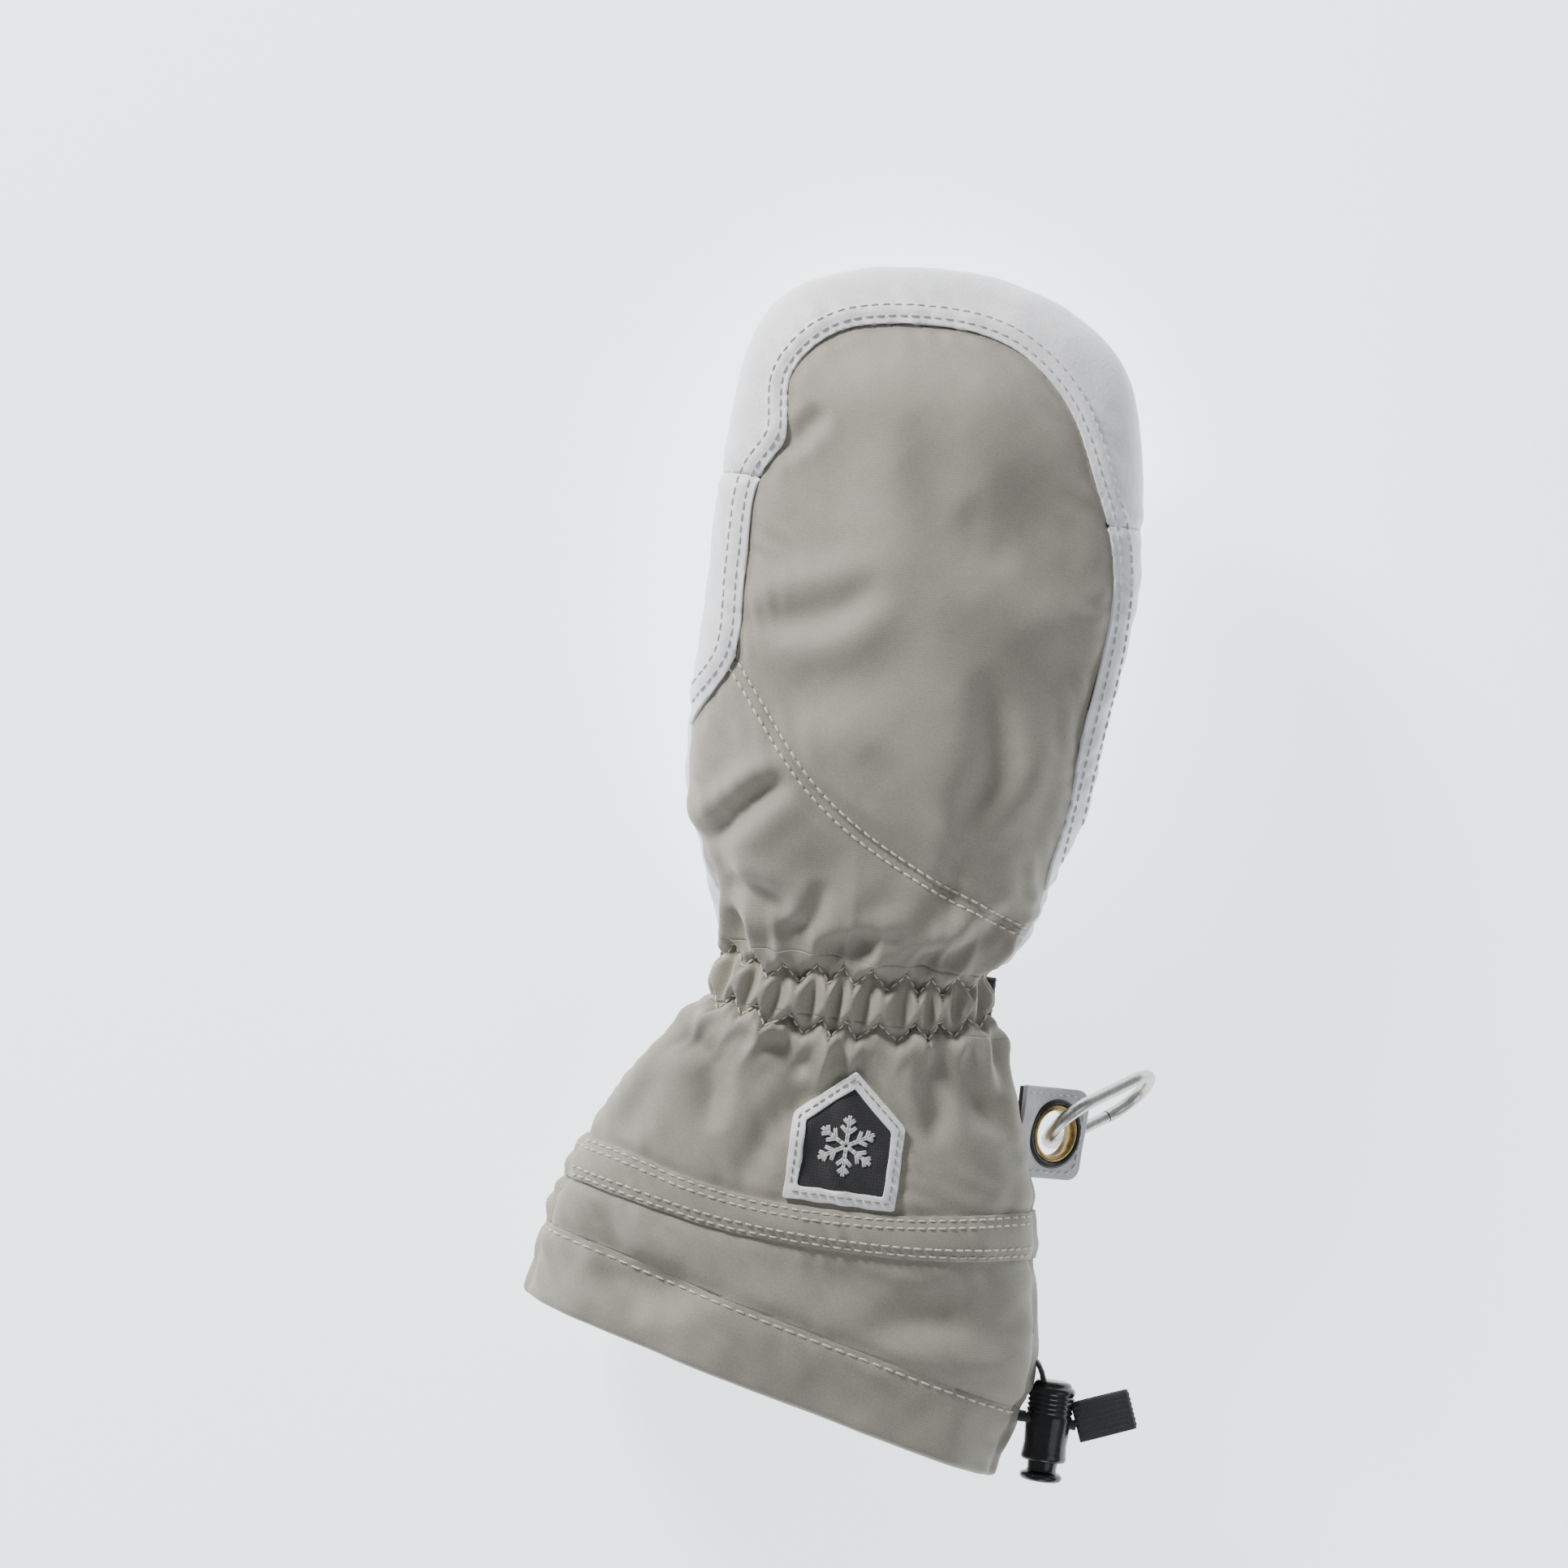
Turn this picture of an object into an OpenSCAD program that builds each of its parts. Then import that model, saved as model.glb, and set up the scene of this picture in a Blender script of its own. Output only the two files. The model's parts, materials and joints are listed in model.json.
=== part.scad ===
// Ski mitten for the right hand, lying palm down with its thumb folded under the palm.
// The fingers point along +Y, the back of the hand faces +Z and the thumb side is -X.
// The shell is a loft through flattened oval sections, and each cloth or leather panel is a
// thin piece of that shell. The trim is modelled as separate solids.

/* [Shell] */
// Width of the hand across the knuckles
hand_w = 114; // [104:1:124]
// Length from the wrist to the fingertip
hand_len = 192; // [180:1:204]
// Length from the wrist to the middle of the hem
cuff_len = 114; // [106:1:122]
// Thickness of the outer fabric and leather
shell_t = 1.4; // [1:0.1:1.8]
// Thickness of the padding between shell and liner
padding_t = 4.4; // [3:0.2:5]
// Thickness of the soft inner liner
liner_t = 1.2; // [0.8:0.1:1.6]

/* [Trim] */
// Width of the wrist strap's webbing
strap_w = 25; // [20:1:26]
// Thickness of the webbing
webbing_t = 1.4; // [1:0.1:1.6]
// Inner radius of the eyelet
eyelet_r = 6.3; // [6:0.1:6.8]
// Overall length of the carabiner
carabiner_len = 40; // [36:1:44]
// Diameter of the carabiner's wire
wire_d = 3.6; // [3:0.2:4]
// Diameter of the elastic drawcord
cord_d = 2.6; // [2:0.2:3]
// Height of the label on the cuff
label_h = 36; // [28:1:38]

/* [Hidden] */

fabric_colour = [0.60, 0.58, 0.53];
leather_colour = [0.92, 0.92, 0.93];
black = [0.06, 0.06, 0.07];
steel = [0.72, 0.72, 0.70];
brass = [0.62, 0.50, 0.26];
gap = 0.3;           // clearance between layers that only lie on each other
eps = 0.01;

// The origin is under the middle of the whole object's box.
origin_x = 7.2;
origin_y = 30.3;
origin_z = 0.3;

// ---- Sections of the shell -------------------------------------------------------------
// [left x, left y, right x, right y, height of the widest line, rise above it, drop below it]
// for the nominal size, from the hem to the fingertip.
sections = [
    [-79, -97, 57, -130, 29, 29, 28.7],
    [-76, -79, 63, -101, 30, 29, 28.6],
    [-71, -65, 62, -79, 32, 27.5, 26],
    [-66, -52, 58, -58, 34, 25, 24],
    [-57, -35, 51, -38, 39, 20, 20],
    [-46, -22, 45, -23, 45, 15, 17],
    [-39, -11, 39.5, -10, 46, 14.5, 16.5],
    [-36.5, -2, 37.5, -2, 46, 15, 16],
    [-37.5, 6, 37.5, 5, 46.5, 16.5, 17],
    [-41, 14, 43, 14, 48, 19, 19.5],
    [-49, 34, 49, 33, 50, 22.5, 22.5],
    [-54, 58, 54.5, 58, 51, 24, 23.5],
    [-54, 90, 59, 90, 52, 24, 24],
    [-54.5, 120, 59.5, 120, 52, 23, 23],
    [-53.5, 150, 56.5, 150, 51, 20.5, 20.5],
    [-49.5, 171, 48, 172, 50, 16, 16],
    [-41, 181.5, 33, 184, 49, 11, 11],
    [-25, 188.5, 14, 190.5, 48.5, 6, 6],
    [-14, 190.5, 0, 191.5, 48, 2.5, 2.5]];
thumb_sections = [
    [-26, 10.5, 2, 10.5, 18, 4, 7],
    [-32, 17, 8, 17, 16, 8, 11],
    [-36, 35, 10, 35, 14, 11.5, 13],
    [-38, 60, 8, 60, 13.5, 12, 13.2],
    [-38, 85, 4, 85, 13.5, 12, 13],
    [-35, 108, 1, 108, 13.5, 11, 11.5],
    [-30.5, 122, -3, 122, 13.5, 8.5, 8.5],
    [-24, 129, -9.5, 129, 13.5, 4.5, 4.5],
    [-19, 131, -14, 131, 13.5, 1.5, 1.5]];

wide = hand_w / 114;             // the table above is for a 114 mm hand
long = hand_len / 192;           // of 192 mm length
cuff_long = cuff_len / 114;      // with a 114 mm cuff
sides = 24;                      // points round one section
roundness = 2.3;                 // exponent of the flattened ovals
tip_start = 150;                 // from here the sections close towards the fingertip
mouth_reach = 8;                 // how far an inner loft runs out past the cuff's mouth

function mix(a, b, t) = a + (b - a) * t;
function fit_y(y) = y * (y < 0 ? cuff_long : long);
function fit_section(s) = [s[0] * wide, fit_y(s[1]), s[2] * wide, fit_y(s[3]), s[4], s[5], s[6]];

// A section with its outline moved inwards by d. Near the tip it moves back as well.
function inset_section(s, d, tip_y, end_y) =
    let (half = (s[2] - s[0]) / 2,
         middle = (s[0] + s[2]) / 2,
         kept = max(half - d, 0.8),
         back = d * min(max((s[1] - tip_y) / (end_y - tip_y), 0), 1))
    [middle - kept, s[1] - back, middle + kept, s[3] - back, s[4],
     max(s[5] - d, 0.8), max(s[6] - d, 0.8)];

function oval(t) = (t < 0 ? -1 : 1) * pow(abs(t), 2 / roundness);
function section_point(s, angle) =
    let (across = oval(cos(angle)), up = oval(sin(angle)))
    [mix(s[0], s[2], (1 + across) / 2), mix(s[1], s[3], (1 + across) / 2),
     s[4] + up * (up > 0 ? s[5] : s[6])];
function run_past(a, b, reach) =      // the section before a, that far out past the mouth
    let (t = reach / norm([a[0] - b[0], a[1] - b[1]]))
    [for (i = [0:6]) i < 4 ? mix(a[i], b[i], -t) : a[i]];

module loft(table, d, tip_y, end_y, open_end = false) {
    moved = [for (s = table) inset_section(s, d, tip_y, end_y)];
    rows = open_end ? concat([run_past(moved[0], moved[1], mouth_reach)], moved) : moved;
    count = len(rows);
    points = [for (s = rows) for (i = [0:sides - 1]) section_point(s, 360 * i / sides)];
    skin = [for (r = [0:count - 2]) for (i = [0:sides - 1]) for (half = [0, 1])
        let (a = r * sides + i, b = r * sides + (i + 1) % sides)
        half == 0 ? [a, b, b + sides] : [a, b + sides, a + sides]];
    ends = [[for (i = [sides - 1:-1:0]) i],
            [for (i = [0:sides - 1]) (count - 1) * sides + i]];
    polyhedron(points, concat(skin, ends), convexity = 6);
}

shell_table = [for (s = sections) fit_section(s)];
thumb_table = [for (s = thumb_sections) fit_section(s)];
module hand_loft(d, open_end = false) {
    loft(shell_table, d, fit_y(tip_start), fit_y(191), open_end);
}
module thumb_loft(d) {
    loft(thumb_table, d, fit_y(108), fit_y(131));
}
module layer(from, to) {          // the part of the shell between two depths
    difference() {
        hand_loft(from);
        hand_loft(to, open_end = true);
    }
}
module thumb_layer(from, to) {
    difference() {
        thumb_loft(from);
        thumb_loft(to);
    }
}

// Cloth and leather pieces are facets throughout, so each is cut as one mesh. The size is kept.
module cloth() { resize([0, 0, 0]) children(); }

// ---- Outlines in plan --------------------------------------------------------------------
function spline_point(a, b, c, d, t) =
    0.5 * (2 * b + (c - a) * t + (2 * a - 5 * b + 4 * c - d) * t * t
        + (3 * b - a - 3 * c + d) * t * t * t);
function spline(p, steps = 3) = [for (i = [0:len(p) - 2]) for (k = [0:steps - 1])
    spline_point(p[max(i - 1, 0)], p[i], p[i + 1], p[min(i + 2, len(p) - 1)], k / steps),
    p[len(p) - 1]];
function fit_plan(p) = [for (q = p) [q[0] * wide, fit_y(q[1])]];
module zone(outline, low = -20, high = 120) {
    translate([0, 0, low]) linear_extrude(high - low) polygon(outline);
}
far = 140;
split_z = 49;                     // height that divides the back from the palm
wrist_top = 5;                    // the gathered wrist lies between these two lines
wrist_low = -12;
hood_y = 129;                     // the fingertip band starts here at both sides
hem_h = 19;

// Edge of the fabric on the back, up the thumb side, over the arch and down the outer side.
back_edge = spline(fit_plan([[-53, 44], [-54, 62], [-45, 81], [-45.5, 105], [-45.5, 127],
    [-39.5, 141], [-40, 158], [-28, 171.5], [-4, 176], [17, 173], [34, 160], [45, 140],
    [52.5, 121], [54, 98], [51, 64], [48, 29]]));
// Seam that crosses the back of the hand.
cross_seam = spline(fit_plan([[-70, 105], [-45.5, 80], [-19, 48.5], [10, 30.5], [45, 17.5],
    [70, 8]]));
palm_arch = spline(fit_plan([[-51, 118], [-36, 142], [-11, 162], [18, 165], [42, 146],
    [54, 127]]));

module above_wrist() { zone([[-far, fit_y(wrist_top)], [far, fit_y(wrist_top)],
    [far, 2 * far], [-far, 2 * far]]); }
module fabric_zone() {
    zone(concat([[48 * wide, -1], [far, -1], [far, fit_y(20)]],
        [for (i = [len(back_edge) - 1:-1:0]) back_edge[i]], [[-far, fit_y(40)], [-far, -1]]),
        split_z);
}
module above_cross_seam() { zone(concat(cross_seam, [[far, 2 * far], [-far, 2 * far]])); }
module tip_zone() { zone([[-far, fit_y(hood_y)], [far, fit_y(hood_y)], [far, 2 * far],
    [-far, 2 * far]]); }
module palm_zone() {
    zone(concat([[-far, -1], [-far, fit_y(110)]], palm_arch, [[far, fit_y(120)], [far, -1]]),
        -20, split_z);
}
module back_half() { translate([-far, -far, split_z]) cube([2 * far, 4 * far, far]); }
module left_half() { translate([-far, -far, -far]) cube([far, 4 * far, 3 * far]); }

// ---- Hand ----------------------------------------------------------------------------------
module hand_shell() {
    intersection() {
        layer(0, shell_t);
        above_wrist();
    }
}
module back_panel() {
    color(fabric_colour) cloth() intersection() {
        hand_shell();
        fabric_zone();
        above_cross_seam();
    }
}
module lower_back_panel() {
    color(fabric_colour) cloth() difference() {
        intersection() {
            hand_shell();
            fabric_zone();
        }
        above_cross_seam();
    }
}
module tip_band() {
    color(leather_colour) cloth() difference() {
        intersection() {
            hand_shell();
            tip_zone();
        }
        fabric_zone();
        palm_zone();
    }
}
module side_strips() {
    difference() {
        intersection() {
            hand_shell();
            back_half();
        }
        fabric_zone();
        tip_zone();
    }
}
module index_side_strip() {
    color(leather_colour) cloth() intersection() {
        side_strips();
        left_half();
    }
}
module outer_side_strip() {
    color(leather_colour) cloth() difference() {
        side_strips();
        left_half();
    }
}
thumb_hole = [-14, 37, 12, 12];   // x, y and the two half-axes of the hole under the palm
module thumb_hole_zone(grow, low, high) {
    points = [for (i = [0:23]) let (a = 360 * i / 24)
        [wide * thumb_hole[0] + (thumb_hole[2] + grow) * cos(a),
         fit_y(thumb_hole[1]) + (thumb_hole[3] + grow) * sin(a)]];
    zone(points, low, high);
}
module palm_panel() {
    color(leather_colour) cloth() difference() {
        intersection() {
            hand_shell();
            union() {
                palm_zone();
                translate([-far, 0, -20]) cube([2 * far, fit_y(hood_y), split_z + 20]);
            }
        }
        thumb_hole_zone(0, 0, 45);
    }
}
padding_depth = shell_t + gap;
liner_depth = padding_depth + padding_t + gap;
module padding() {
    color("white") cloth() difference() {
        intersection() {
            layer(padding_depth, padding_depth + padding_t);
            above_wrist();
        }
        thumb_hole_zone(0, 0, 45);
    }
}
module hand_liner() {
    color([0.85, 0.84, 0.80]) cloth() difference() {
        intersection() {
            layer(liner_depth, liner_depth + liner_t);
            above_wrist();
        }
        thumb_hole_zone(0, 0, 45);
    }
}

// ---- Thumb ---------------------------------------------------------------------------------
// Fabric covers the thumb's outer face, and leather its other faces.
thumb_seam = spline(fit_plan([[-10, -20], [-24, 12], [-31, 50], [-27, 85], [-22, 112],
    [-17, 127], [-9, 127], [-3.5, 108], [-1, 85], [2, 50], [3, 12], [6, -20]]));
module thumb_fabric_zone() { zone(thumb_seam, -20, 12); }
module thumb_shell() {
    difference() {
        thumb_layer(0, shell_t);
        thumb_hole_zone(0, 14, 45);
    }
}
module thumb_fabric() {
    color(fabric_colour) cloth() intersection() {
        thumb_shell();
        thumb_fabric_zone();
    }
}
module thumb_leather() {
    color(leather_colour) cloth() difference() {
        thumb_shell();
        thumb_fabric_zone();
    }
}
module thumb_liner() {
    color([0.85, 0.84, 0.80]) cloth() difference() {
        thumb_layer(shell_t + gap, shell_t + gap + liner_t);
        thumb_hole_zone(0, 14, 45);
    }
}
module thumb_gusset() {           // leather collar that joins the thumb to the palm
    color(leather_colour) cloth() difference() {
        thumb_hole_zone(shell_t, 25.5 + gap, 34);
        thumb_hole_zone(0, 0, 45);
        hand_loft(0);
    }
}

// ---- Wrist and cuff --------------------------------------------------------------------------
module wrist_zone() { zone([[-far, fit_y(wrist_low)], [far, fit_y(wrist_low)],
    [far, fit_y(wrist_top)], [-far, fit_y(wrist_top)]]); }
module wrist_panel() {
    color(fabric_colour) cloth() intersection() {
        layer(0, shell_t);
        wrist_zone();
    }
}
module wrist_elastic() {
    color("white") cloth() intersection() {
        layer(shell_t + gap, shell_t + gap + 1);
        wrist_zone();
    }
}
// A line across the cuff that lies this far above the hem, at both sides.
hem_left = [shell_table[0][0], shell_table[0][1]];
hem_right = [shell_table[0][2], shell_table[0][3]];
hem_along = (hem_right - hem_left) / norm(hem_right - hem_left);
hem_up = [-hem_along[1], hem_along[0]];
function hem_line(rise) = [hem_left - hem_along * 60 + hem_up * rise,
    hem_right + hem_along * 60 + hem_up * rise];
module above_hem(rise) { zone(concat(hem_line(rise), [[far, fit_y(wrist_low)],
    [-far, fit_y(wrist_low)]])); }
module cuff_shell(from, to) {
    intersection() {
        layer(from, to);
        above_hem(hem_h);
    }
}
cuff_split = 36;                  // height of the cuff's side seams
module upper_cuff() { translate([-far, -2 * far, cuff_split]) cube([2 * far, 4 * far, far]); }
module cuff_back_panel() {
    color(fabric_colour) cloth() intersection() {
        cuff_shell(0, shell_t);
        upper_cuff();
    }
}
module cuff_palm_panel() {
    color(fabric_colour) cloth() difference() {
        cuff_shell(0, shell_t);
        upper_cuff();
    }
}
band_low = [[-66.5, -66], [-24, -73], [21, -73.8], [62, -70]];    // lower edge of the band
band_top = [[-64, -54], [-37, -60], [-14, -63], [19, -62.5], [60, -57]];
module cuff_band() {
    color(fabric_colour * 0.96) cloth() intersection() {
        layer(-0.8, 0);
        zone(concat([[-far, fit_y(-66)]], spline(fit_plan(band_low)), [[far, fit_y(-70)],
            [far, fit_y(-55)]],
            [for (i = [len(spline(band_top)) - 1:-1:0]) fit_plan(spline(band_top))[i]],
            [[-far, fit_y(-54)]]));
    }
}
channel = cord_d + 1;             // width of the drawcord's channel
hem_depth = 2 * shell_t + channel;
module below_hem_line() { difference() {
    translate([-far, -2 * far, -20]) cube([2 * far, 2 * far - 20, 140]);
    above_hem(hem_h);
} }
module hem_sleeve() {
    color(fabric_colour) cloth() difference() {
        intersection() {
            layer(0, hem_depth);
            below_hem_line();
        }
        intersection() {          // the channel for the drawcord
            layer(shell_t, shell_t + channel);
            above_hem(shell_t);
        }
        translate(cord_exit) rotate([0, 90, 0]) cylinder(r = 3.4, h = 8, center = true, $fn = 24);
    }
}
module cuff_lining() {
    color(black) cloth() intersection() {
        cuff_shell(shell_t + gap, shell_t + gap + 1);
        zone([[-far, -2 * far], [far, -2 * far], [far, fit_y(wrist_low) - gap],
            [-far, fit_y(wrist_low) - gap]]);
    }
}

// ---- Label -----------------------------------------------------------------------------------
label_x = 3.5;
label_y = -43.5;
label_turn = -1;
function label_outline(d) = let (w = label_h * 0.42 - d, h = label_h / 2 - d, s = label_h * 0.13)
    [[-w, -h], [w, -h], [w, s], [0, h + d * 0.2], [-w, s]];
module label_zone(d) {
    translate([label_x * wide, fit_y(label_y), 40]) rotate([0, 0, label_turn])
        linear_extrude(40) polygon(label_outline(d));
}
module label_frame() {
    color(leather_colour) cloth() difference() {
        intersection() {
            layer(-1.6, -0.4 + gap);
            label_zone(0);
        }
        label_zone(3.6);
        band_clear();
    }
}
module label_field() {
    color(black) cloth() difference() {
        intersection() {
            layer(-1.1, -0.1);
            label_zone(3.6);
        }
        band_clear();
    }
}
module band_clear() { translate([-far, fit_y(-60.5) - far, 0]) cube([2 * far, far, 100]); }

// ---- Tab and eyelet -------------------------------------------------------------------------
// The tab leaves the outer side seam and slopes down and out. Its own frame has x along the
// tab, y along the mitten and z out of its face.
eyelet_at = [59, -36, 31];
tab_tilt = 40;
tab_reach = 11;                   // from the eyelet's centre to the tab's end
tab_root = 16;
tab_w = 25;
tab_t = 1.4;
rim_r = eyelet_r + 3.3;
module in_tab_frame() { translate(eyelet_at) rotate([0, tab_tilt, 0]) children(); }
module tab_plate(low, width) {
    cloth() difference() {
        in_tab_frame() difference() {
            translate([0, 0, low]) linear_extrude(tab_t) hull() {
                translate([-tab_root, -width / 2]) square([1, width]);
                for (s = [-1, 1]) translate([tab_reach - 4, s * (width / 2 - 4)])
                    circle(r = 4, $fn = 32);
            }
            cylinder(r = eyelet_r + 0.9, h = 20, center = true, $fn = 48);
        }
        hand_loft(-0.9);
    }
}
module tab_leather() { color([0.80, 0.80, 0.80]) tab_plate(0, tab_w); }
module tab_backing() { color(black) tab_plate(-tab_t, tab_w - 1); }
module ring(inner, outer, low, high) {
    translate([0, 0, low]) difference() {
        cylinder(r = outer, h = high - low, $fn = 48);
        translate([0, 0, -1]) cylinder(r = inner, h = high - low + 2, $fn = 48);
    }
}
module eyelet_barrel() {
    color(brass) in_tab_frame() {
        ring(eyelet_r, eyelet_r + 0.8, -tab_t - 0.5, tab_t + 0.6);
        ring(eyelet_r + 0.8, eyelet_r + 1.6, tab_t + 0.1, tab_t + 0.6);
    }
}
module eyelet_rim() { color(black) in_tab_frame()
    ring(eyelet_r + 1.7, rim_r, tab_t, tab_t + 0.5); }
module eyelet_washer() { color(brass) in_tab_frame()
    ring(eyelet_r + 0.9, rim_r, -tab_t - 0.5, -tab_t); }

// ---- Carabiner ------------------------------------------------------------------------------
// Its own frame has x along the carabiner from the eyelet and z across its loop.
carabiner_yaw = 25;
carabiner_roll = -42;
bow_r = 9.5;                      // radius of the wire's centre line at both ends
wire_r = wire_d / 2;
leg = carabiner_len - wire_d - 2 * bow_r;    // length of the straight legs
gate_in = 4.4;                      // the gate runs from here to gate_out along the leg
gate_out = leg - 0.6;
module in_carabiner_frame() {
    in_tab_frame() rotate([0, 0, carabiner_yaw]) rotate([carabiner_roll, 0, 0]) children();
}
module bow(at, turn) {
    translate([at, 0, 0]) rotate([90, 0, 0]) rotate([0, 0, turn])
        rotate_extrude(angle = 180, $fn = 64) translate([bow_r, 0]) circle(r = wire_r, $fn = 24);
}
module bar(from, to, z, r = wire_r) {
    translate([from, 0, z]) rotate([0, 90, 0]) cylinder(r = r, h = to - from, $fn = 24);
}
module carabiner_body() {
    color(steel) in_carabiner_frame() {
        difference() {
            union() {
                bow(bow_r, 90);
                bow(bow_r + leg, -90);
                bar(bow_r, bow_r + leg, bow_r);
                bar(bow_r, bow_r + gate_in, -bow_r);
                bar(bow_r + gate_out, bow_r + leg, -bow_r);
            }
            // slot and pin hole for the gate's tongue
            translate([bow_r + gate_in - 3.4, -0.7, -bow_r - 3]) cube([5, 1.4, 6]);
            translate([bow_r + gate_in - 1.6, 0, -bow_r]) rotate([90, 0, 0])
                cylinder(r = 0.6, h = 8, center = true, $fn = 16);
        }
    }
}
module carabiner_gate() {
    color(steel) in_carabiner_frame() difference() {
        union() {
            bar(bow_r + gate_in + 1.1, bow_r + gate_out - 0.3, -bow_r, wire_r - 0.15);
            translate([bow_r + gate_in - 1.6, 0, -bow_r]) rotate([90, 0, 0])
                cylinder(r = 1.3, h = 1.1, center = true, $fn = 24);
            translate([bow_r + gate_in - 1.6, -0.55, -bow_r - 1.3]) cube([4, 1.1, 2.6]);
        }
        translate([bow_r + gate_in - 1.6, 0, -bow_r]) rotate([90, 0, 0])
            cylinder(r = 0.65, h = 8, center = true, $fn = 16);
    }
}
module gate_pin() {
    color(steel) in_carabiner_frame() translate([bow_r + gate_in - 1.6, 0, -bow_r])
        rotate([90, 0, 0]) cylinder(r = 0.6, h = 2 * wire_r + 0.2, center = true, $fn = 16);
}

// ---- Wrist strap on the palm side -------------------------------------------------------------
// The strap lies round the wrist on a flattened oval. A layer's depth is its distance out from it.
strap_mid_z = 46;
strap_half = 44 * wide;
strap_drop = 19.7;
strap_top_y = fit_y(4);
pad_t = 1.7;
ring_wire = 2;
ring_clear = 0.7;
flap_depth = webbing_t + 2 * pad_t + gap;
function strap_z(x, depth) = strap_mid_z - (strap_drop + depth)
    * pow(1 - pow(abs(x) / (strap_half + depth), roundness), 1 / roundness);
function strap_run(x0, x1, depth, steps = 14) =
    [for (i = [0:steps]) let (x = mix(x0, x1, i / steps)) [x, strap_z(x, depth)]];
module strap_slice(width = strap_w) {
    translate([0, strap_top_y - (strap_w - width) / 2, 0]) rotate([90, 0, 0])
        linear_extrude(width) children();
}
module strap_layer(x0, x1, low, high) {
    polygon(concat(strap_run(x0, x1, low), strap_run(x1, x0, high)));
}
bar_b = [-13.5, strap_z(-13.5, webbing_t + ring_clear + ring_wire / 2)];
bar_a = [-26.3, strap_z(-26.3, webbing_t + ring_clear + ring_wire / 2)];
fold_in = ring_wire / 2 + ring_clear;
fold_out = fold_in + webbing_t;
module fold(at, side) {           // webbing folded half round one bar of the ring
    intersection() {
        translate(at) difference() {
            circle(r = fold_out, $fn = 32);
            circle(r = fold_in, $fn = 32);
        }
        translate(at + [side > 0 ? 0 : -9, -9]) square([9, 18]);
    }
}
module wrist_strap() {
    color(black) strap_slice() {
        strap_layer(38, bar_b[0] - eps, 0, webbing_t);
        fold(bar_b, -1);
    }
}
module loop_pad() { color(black) strap_slice(strap_w - 3)
    strap_layer(-6, 27, webbing_t, webbing_t + pad_t); }
module hook_pad() { color(black) strap_slice(strap_w - 3)
    strap_layer(2, 24, webbing_t + pad_t + gap, flap_depth - 0.12); }
flap_start = bar_b[0] + 1.2;
module strap_flap() {
    color(black) strap_slice() strap_layer(flap_start, 28, flap_depth, flap_depth + webbing_t);
}
ring_len = 33;
ring_bend = 3;                    // radius of the ring's corners at the wire's centre line
ring_vector = bar_b - bar_a;
ring_span = norm(ring_vector);
ring_turn = atan2(ring_vector[1], ring_vector[0]);
module strap_ring() {             // a rounded rectangle of wire
    color(steel * 0.6) translate([bar_a[0], strap_top_y - strap_w / 2, bar_a[1]])
        rotate([0, -ring_turn, 0]) {
            straight = ring_len - ring_wire - 2 * ring_bend;
            for (x = [0, ring_span]) translate([x, straight / 2, 0]) rotate([90, 0, 0])
                cylinder(r = ring_wire / 2, h = straight, $fn = 20);
            for (s = [-1, 1]) {
                translate([ring_bend, s * (straight / 2 + ring_bend), 0]) rotate([0, 90, 0])
                    cylinder(r = ring_wire / 2, h = ring_span - 2 * ring_bend, $fn = 20);
                for (x = [ring_bend, ring_span - ring_bend])
                    translate([x, s * straight / 2, 0])
                        rotate([0, 0, (x > ring_bend ? 0 : 90) + (s > 0 ? 0 : (x > ring_bend
                            ? -90 : 90))])
                        rotate_extrude(angle = 90, $fn = 48)
                            translate([ring_bend, 0]) circle(r = ring_wire / 2, $fn = 20);
            }
        }
}
keeper_end = -37;
module ring_keeper() {
    color(black) strap_slice() {
        strap_layer(bar_a[0] + eps, keeper_end, 0, webbing_t);
        fold(bar_a, 1);
        strap_layer(bar_a[0] + eps, keeper_end + 2, webbing_t + 2 * ring_clear + ring_wire,
            2 * webbing_t + 2 * ring_clear + ring_wire);
    }
}

// ---- Drawcord and its lock --------------------------------------------------------------------
cord_r = cord_d / 2;
cord_rise = 9.7;                  // height of the drawcord above the hem's edge
cord_exit = [59.5, -114.5, 29];
lock_x = 69.3;
lock_r = 6.4;
lock_top = -103;
lock_len = 22;
button_r = 4.3;
button_travel = 3;
tail_gap = 1.5;                   // half the distance between the two cord tails
cord_inset = shell_t + channel / 2;
function hem_section(rise) = let (a = inset_section(shell_table[0], cord_inset, 900, 901),
        b = inset_section(shell_table[1], cord_inset, 900, 901),
        t = rise / norm([a[0] - b[0], a[1] - b[1]]))
    [for (i = [0:6]) mix(a[i], b[i], t)];
cord_loop = [for (a = concat([2], [for (i = [15:15:345]) i], [358]))
    section_point(hem_section(cord_rise), a)];
pull_at = [76.2, 0];
module tube(path, r, n = 8) {     // a round tube along a path that turns only gently
    count = len(path);
    ways = [for (i = [0:count - 1]) let (v = path[min(i + 1, count - 1)] - path[max(i - 1, 0)])
        v / norm(v)];
    rows = [for (i = [0:count - 1]) let (w = ways[i], s = cross(w, [0.3, 1, 0.1]),
        u = s / norm(s), v = cross(w, u)) for (k = [0:n - 1]) let (a = 360 * k / n)
        path[i] + r * (cos(a) * u + sin(a) * v)];
    skin = [for (i = [0:count - 2]) for (k = [0:n - 1]) for (half = [0, 1])
        let (p = i * n + k, q = i * n + (k + 1) % n)
        half == 0 ? [p, q + n, q] : [p, p + n, q + n]];
    polyhedron(rows, concat(skin, [[for (k = [0:n - 1]) k],
        [for (k = [n - 1:-1:0]) (count - 1) * n + k]]), convexity = 8);
}
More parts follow.
